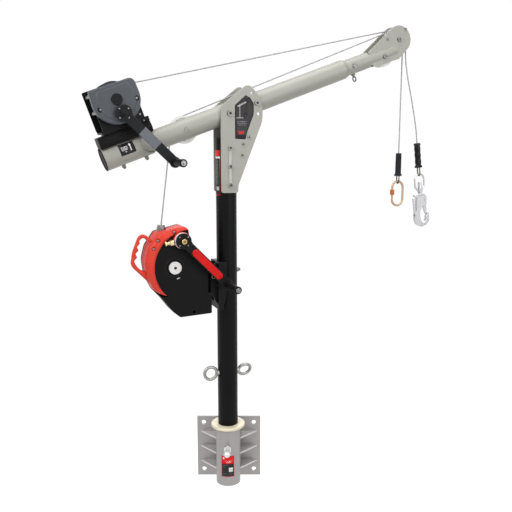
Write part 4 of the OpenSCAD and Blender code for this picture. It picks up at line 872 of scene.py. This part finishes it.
GRIP_TOP, GRIP_LOW = -441, -513
fall = np.linspace(GRIP_TOP, GRIP_LOW, 90)
FINGER = 24.7
scallops = 3.7 * np.cos(2 * math.pi * (fall + 448.6) / FINGER)
fingers = np.stack([-334.5 + 0.235 * (fall + 456) + scallops, fall], -1)
outside = rounded([(-270, -459, 1), (-324.4, -401, 20), (-356.5, -478, 70), (-364.5, -527, 9),
                   (-296, -598, 1)], 9)
outside = evenly(outside[8:-8], count=400)[1]
grip = (outside[:, 0] < -325) & (outside[:, 1] <= GRIP_TOP) & (outside[:, 1] > GRIP_LOW)
low = outside[:, 1] <= GRIP_LOW
out_line = np.vstack([evenly(outside[part], count=n)[1]
                      for part, n in ((~grip & ~low, 30), (grip, 90), (low, 26))])
top_in = [(-285, -460), (-301, -444), (-314, -431.5), (-318.2, -429.7), (-322.9, -432.4), (-329, -438),
          (-331.5, -440)]
low_in = [(-349.5, -515), (-348, -521), (-334.4, -540.4), (-328, -544.5), (-318, -548), (-300, -554)]
in_line = np.vstack([evenly(top_in, count=30)[1], fingers, evenly(low_in, count=26)[1]])
smooth = np.ones(7) / 7
for line in (out_line, in_line):
    padded = np.vstack([np.repeat(line[:1], 3, 0), line, np.repeat(line[-1:], 3, 0)])
    line[:] = np.stack([np.convolve(padded[:, k], smooth, "valid") for k in (0, 1)], -1)
wide, deep = squared(circle(32), 2 / 2.7)
centre, half = (out_line + in_line) / 2, (out_line - in_line) / 2
bar = centre[:, None] + half[:, None] * wide[None, :, None]
handle = laid("block_carry_handle", heading(spread(bar[..., 0], -23 + 11 * deep, bar[..., 1])), cover_red,
              "mast")
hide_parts("block_handle")


# The block's crank. A flat arm of black coated steel on a round hub, held by a brass nut with four
# screws round it, and a plastic grip that spins on its axle. A red reflective strip lies on the arm.
crank_black = finish("crank black", (0.040, 0.040, 0.046), 0.44, mottle=0.12, broad=22, fine=1500,
                     raised=0.02, shine=0.14)
grip_black = finish("grip black", (0.036, 0.036, 0.040), 0.6, mottle=0.10, broad=40, fine=1300, raised=0.05,
                    shine=0.14)
brass = finish("yellow brass", (0.74, 0.62, 0.40), 0.30, metal=0.95, mottle=0.08, broad=80, fine=1300,
               raised=0.02)
eased("block_crank", crank_black, 0.8, share=1.9)
eased("block_crank_grip", grip_black, 0.5, share=1.5)
plunger_brass = finish("pale polished brass", (0.88, 0.80, 0.62), 0.26, metal=0.9, mottle=0.05, broad=80,
                       fine=1300, raised=0.01)
eased("block_knob", plunger_brass, 0.5)
# The knob's plunger slides in a brass seat beside the hub, behind a fixed brass nut.
KNOB_WAY = math.radians(188)


def beside_hub(points):
    """Millimetres in the plunger's frame (out from the hub, towards the back, up) to the row frame."""
    return heading(turned(points, KNOB_WAY, 0, 2) + [HUB[0], -71.5, HUB[1]])


along, up = squared(circle(48), 0.4)
seat = np.stack([spread(38.3 + (8.3 - cut) * along, level, (8.6 - cut) * up)
                 for cut, level in ((0, 17.6), (0, -6.4), (0.5, -7.8), (1.6, -8.5), (5, -8.6))])
laid("plunger_seat", beside_hub(seat), plunger_brass, "mast")
lathe("plunger_nut", [(4.3, 46.2), (6.6, 46.2), (7.2, 46.8), (7.2, 49.0), (6.6, 49.6), (4.3, 49.6)],
      plunger_brass, "mast", (0, 0, 0), facing=lambda p: beside_hub(p[..., [1, 0, 2]] * [-1, 1, 1]),
      turns=36)
BLOCK_ARM, WINCH_ARM = math.radians(-45.7), math.radians(-63.7)
CRANK_LENGTH = 232


def on_block_crank(points):
    """Millimetres in the block crank's frame (along the arm, across, square to it) to the row frame."""
    return heading(turned(points, BLOCK_ARM, 0, 2) + [HUB[0], -86, HUB[1]])


# The strip has half-round ends, and its edge is drawn in a little at its face.
strip_red = finish("red reflective strip", (0.82, 0.03, 0.03), 0.36, mottle=0.04, broad=55, fine=700,
                   raised=0.01, shine=0.25)
STRIP_FROM, STRIP_TO, STRIP_HALF = 61, 183, 13
a = np.linspace(-math.pi / 2, math.pi / 2, 28)
half_round = STRIP_HALF * np.stack([np.cos(a), np.sin(a)], -1)
edge = np.concatenate([[STRIP_TO, 0] + half_round, [STRIP_FROM, 0] - half_round])
inward = unit(edge.mean(0) - edge)
strip = np.stack([spread(edge[:, 0] + inset * inward[:, 0], level, edge[:, 1] + inset * inward[:, 1])
                  for inset, level in ((0, -6.0), (0, -6.5), (0.5, -6.8), (8, -6.8))])
laid("crank_red_strip", on_block_crank(strip), strip_red, "block_crank")
# Four small domed screws hold the hub, a brass nut its shaft, and a screw in a rim the grip's axle.
HUB_SCREWS = [(21, 0, 0), (0, 0, 21), (-21, 0, 0), (0, 0, -21)]
DOME = [(2.6, 6.9)] + [(2.6 * math.cos(t), 6.9 + 1.2 * (0.4 + 0.6 * math.sin(t)))
                       for t in np.linspace(0, math.pi / 2, 5)[:-1]]
lathe("block_hub_screw", DOME, steel, "block_crank", HUB_SCREWS, facing=on_block_crank, turns=16)
lathe("block_hub_nut",
      [(4, 12.9), (8.4, 12.9), (9.4, 13.6), (9.4, 15), (8.6, 15.8), (6.4, 15.8), (6.0, 18.2), (5.6, 18.8),
       (3.4, 18.8), (2.9, 17.4), (0.4, 17.4)],
      brass, "block_crank", (0, 0, 0), facing=on_block_crank, turns=40)
GRIP_RIM = [(5.2, 110.5), (8.6, 110.5), (8.9, 113.2), (8.3, 113.9), (6.2, 113.9), (5.6, 113.1), (1.4, 113.1),
            (0.4, 113.6)]
lathe("block_grip_screw_rim", GRIP_RIM, steel, "block_crank", (CRANK_LENGTH, 0, 0), facing=on_block_crank,
      turns=40)


# The boom. A round outer tube with a sleeve clamped over its rear, a plain plug in the end and a
# turned collar where the inner tube slides out; powder coated like the head, the plug black.
BOOM_LINE = (boom([0, 0, 0]), boom([100, 0, 0]))
eased("boom_tube", grey_coat, 0.8, about=BOOM_LINE)
eased("rear_sleeve", grey_coat, 0.9, about=BOOM_LINE)
eased("rear_cap", black_plastic, 0.6, share=1.6)
collar_coat = finish("collar coat", (0.60, 0.595, 0.565), 0.40, mottle=0.05, broad=20, fine=1300,
                     raised=0.04)
eased("boom_collar", collar_coat, 1.0, about=BOOM_LINE)
eased("inner_boom", grey_coat, 0.8, about=BOOM_LINE)
eased("stop_bolts", bolt_zinc, 0.4)

# A black sticker on the near side of the sleeve: a white arrow that points up, beside pale lines.
STICKER_R = 40.25
a = np.radians(np.linspace(-12, 46, 9))[:, None]
sleeve_side = boom(spread(np.linspace(-411.5, -358, 5), -STICKER_R * np.cos(a), STICKER_R * np.sin(a)))
label("sleeve_sticker", sleeve_side, printed("sleeve sticker vinyl", DARK, [
    (PALE, (0.70, 0.76, 0.22, 0.74)), (PALE, (0.66, 0.80, 0.66, 0.74)), (PALE, (0.69, 0.77, 0.74, 0.82)),
    (PALE, (0.715, 0.745, 0.82, 0.88))],
    bars=[(PALE, (0.14, 0.56, 0.62, 0.70)), (PALE, (0.14, 0.56, 0.50, 0.57)),
          (PALE, (0.14, 0.50, 0.39, 0.45)), (PALE, (0.24, 0.44, 0.20, 0.26))]), "boom")


# The rope's wheels. Turned white nylon with a rope groove, on bright axles; the guide wheel sits in a
# slot of the boom, and two wheels and a two-lane roller sit in the head.
wheel_nylon = finish("white nylon wheel", (0.88, 0.88, 0.86), 0.40, mottle=0.04, broad=40)
for node in ("guide_sheave", "winch_head_sheave", "block_head_sheave", "idler"):
    eased(node, wheel_nylon, 0.5, share=1.04)
eased("guide_axle", bolt_zinc, 0.4)
eased("head_cheeks", grey_coat, 0.9, share=1.12)
eased("head_axles", bolt_zinc, 0.4)


# The winch. Two black frame plates on a black saddle that is clamped round the sleeve, joined by
# plated studs; a slate grey moulded case covers its gears.
slate = finish("slate grey moulding", (0.27, 0.285, 0.31), 0.46, broad=10, fine=1500, uneven=0.07,
               shine=0.4)
gear_steel = finish("oiled gear steel", (0.46, 0.46, 0.47), 0.34, metal=0.9, mottle=0.08, broad=60)
drum_coat = finish("grey coated drum", (0.24, 0.25, 0.275), 0.44, metal=0.3, mottle=0.05, broad=30,
                   fine=1300, raised=0.02, shine=0.3)
# The saddle's and frame's rounded edges are painted five and six times paler: a painted highlight along their
# edges.
eased("saddle", cast_black, 1.2, share=5)
eased("winch_frame", black_coat, 1.0, share=6)
eased("winch_studs", bolt_zinc, 0.5)
eased("winch_cover", slate, 1.0)
eased("winch_drum", drum_coat, 0.5)
eased("winch_gear", gear_steel, 0.25, corner=50)
COVER_SCREWS = [(-301, 155), (-426, 158)]
lathe("case_screw", [(4.4, -3), (4.4, 0.6), (3.9, 1.6), (2.6, 2.1), (2.0, 2.1), (1.8, 1.0), (0.4, 1.0)],
      steel, "boom", [(x, -73.6, z) for x, z in COVER_SCREWS], facing=boom, turns=28)
# A dark plug with six dimples covers the drum's shaft, and each screw is ringed by a thin dark ring of the
# same material, painted shade of the recess it lies in.
plug_and_recess_shade = finish("dark slate plug and painted recess shade", (0.10, 0.105, 0.115), 0.5, fine=1300, shine=0.14)
DIMPLES = 11 * np.stack([way_of(k) for k in np.arange(0, 360, 60) + 20])
plug_r = np.concatenate([[19.2, 19.2, 18.4], np.linspace(17.6, 0.4, 16)])[:, None]
plug_rise = np.concatenate([[-1, 0.2, 0.9], np.full(16, 1.0)])[:, None]
a = circle(72)
x, z = plug_r * np.cos(a), plug_r * np.sin(a)
from_dimple = np.min([np.hypot(x - i, z - k) for i, k in DIMPLES], axis=0)
rise = plug_rise - 0.8 * np.clip((3.2 - from_dimple) / 1.6, 0, 1) * (plug_rise > 0.5)
laid("shaft_plug", boom(spread(WINCH[0] + x, -80.0 - rise, WINCH[1] + z)), plug_and_recess_shade, "boom")
lathe("screw_recess_shade", [(9.6, -0.6), (9.6, 0.1), (8.8, 0.35), (6.2, 0.35), (5.6, -0.6)], plug_and_recess_shade, "boom",
      [(x, -73.1, z) for x, z in COVER_SCREWS], facing=boom, turns=36)


# The winch's crank. The same arm and grip as the block's, in dark grey with a pale band across its
# middle third; the pinion is cut on its shaft.
crank_slate = finish("crank dark grey", (0.085, 0.09, 0.10), 0.42, mottle=0.08, broad=22, fine=1500,
                     raised=0.02, shine=0.14)
band_grey = finish("crank band grey", (0.37, 0.38, 0.41), 0.40, mottle=0.05, broad=22, fine=1500,
                   raised=0.02, shine=0.4)
eased("winch_crank", crank_slate, 0.7, share=1.5)
eased("winch_crank_grip", grip_black, 0.5, share=1.5)
PINION = np.array([-361.0, 123.1])


def on_winch_crank(points):
    """Millimetres in the winch crank's frame (along the arm, across, square to it) to the row frame."""
    return boom(turned(points, WINCH_ARM, 0, 2) + [PINION[0], -88, PINION[1]])


loop = np.array([(0.2, -16.0), (0.2, 16.0), (-0.4, 16.75), (-5.7, 16.75), (-6.3, 16.0), (-6.3, -16.0),
                 (-5.7, -16.75), (-0.4, -16.75)])
band = spread(np.linspace(80, 153, 8)[:, None], loop[:, 0], loop[:, 1])
laid("winch_crank_band", on_winch_crank(band), band_grey, "winch_crank")
lathe("winch_hub_screw", DOME, steel, "winch_crank", HUB_SCREWS, facing=on_winch_crank, turns=16)
lathe("winch_hub_nut",
      [(4, 12.9), (9.6, 12.9), (10.4, 13.8), (10.0, 15.6), (7, 16.4), (6.4, 18.4), (5.4, 19.0), (0.4, 19.0)],
      crank_slate, "winch_crank", (0, 0, 0), facing=on_winch_crank, turns=40)
lathe("winch_grip_screw_rim", GRIP_RIM, steel, "winch_crank", (CRANK_LENGTH, 0, 0), facing=on_winch_crank,
      turns=40)


# The tackle on the winch's rope. A ribbed rubber sleeve over the rope's eye and an oval carabiner of
# gold anodised bar, with a screw sleeve of orange anodised metal.
sleeve_rubber = finish("dark grey rubber", (0.065, 0.07, 0.095), 0.62, mottle=0.07, broad=60, fine=1100,
                       raised=0.10, shine=0.25)
gold = finish("gold anodised bar", (0.72, 0.63, 0.52), 0.38, metal=0.3, mottle=0.05, broad=60, fine=1400,
              raised=0.015)
orange = finish("orange anodised sleeve", (0.70, 0.38, 0.06), 0.40, metal=0.2, broad=80, fine=1400,
                raised=0.02)
eased("winch_sleeve", sleeve_rubber, 0.5, share=1.3)
# The rope's eye shows between the sleeve and the bar: the same rope, tanned by its lubricant, in a U.
eye_tan = finish("lubricated rope eye", (0.64, 0.58, 0.51), 0.44, metal=0.4, mottle=0.10, broad=120,
                 fine=2600, raised=0.01)
ALONG = heading([1000.0, 0, 0]) - heading([0, 0, 0])


def eye(name, top, centre, leg, place, body):
    """A U of rope: down one side at this distance from the middle, round a half circle and up the other."""
    a = np.linspace(math.pi, 2 * math.pi, 25)
    down = np.linspace(top, centre, 12)[:-1]
    across = np.concatenate([0 * down - leg, leg * np.cos(a), 0 * down + leg])
    height = np.concatenate([down, centre + leg * np.sin(a), down[::-1]])
    return rope(name, place(spread(0, across, height)), body, radius=0.00268, ring=0.0014, square=ALONG,
                material=eye_tan)


eye("winch_rope_eye", -89, -113.3, 8.2, lambda q: heading(q + [741.94, LANE, -144.397]), "winch_line_end")
eased("carabiner_body", gold, 0.4, share=1.05, corner=50)
eased("carabiner_gate", gold, 0.3, share=1.05, corner=50)
eased("carabiner_sleeve", orange, 0.3, share=1.15)


# The tackle on the block's rope. A lobed rubber hand grip, a swivel eye of plated bar and a steel
# snap hook with a gate and a lock lever, both plated bright.
chrome = finish("satin chrome plate", (0.74, 0.74, 0.75), 0.30, metal=0.85, mottle=0.01, broad=30, fine=260,
                raised=0.0, uneven=0.015)
lobed_rubber = finish("lobed black rubber", (0.036, 0.036, 0.040), 0.36, mottle=0.08, broad=40, fine=1300,
                      shine=0.2)
eased("block_grip", lobed_rubber, 0.6, share=1.5)
eye("block_rope_eye", -97, -125.3, 7.5, lambda q: heading(turned(q, LEAN, 0, 2) + [812.671, -LANE, -104.352]),
    "block_line_end")
eased("swivel_eye", chrome, 0.5, share=1.05, corner=50)
eased("hook_body", chrome, 1.2, share=1.1)
eased("hook_gate", chrome, 0.7, share=1.1)
eased("hook_lock", chrome, 0.6, share=1.1)


import json
low, high = cad_box
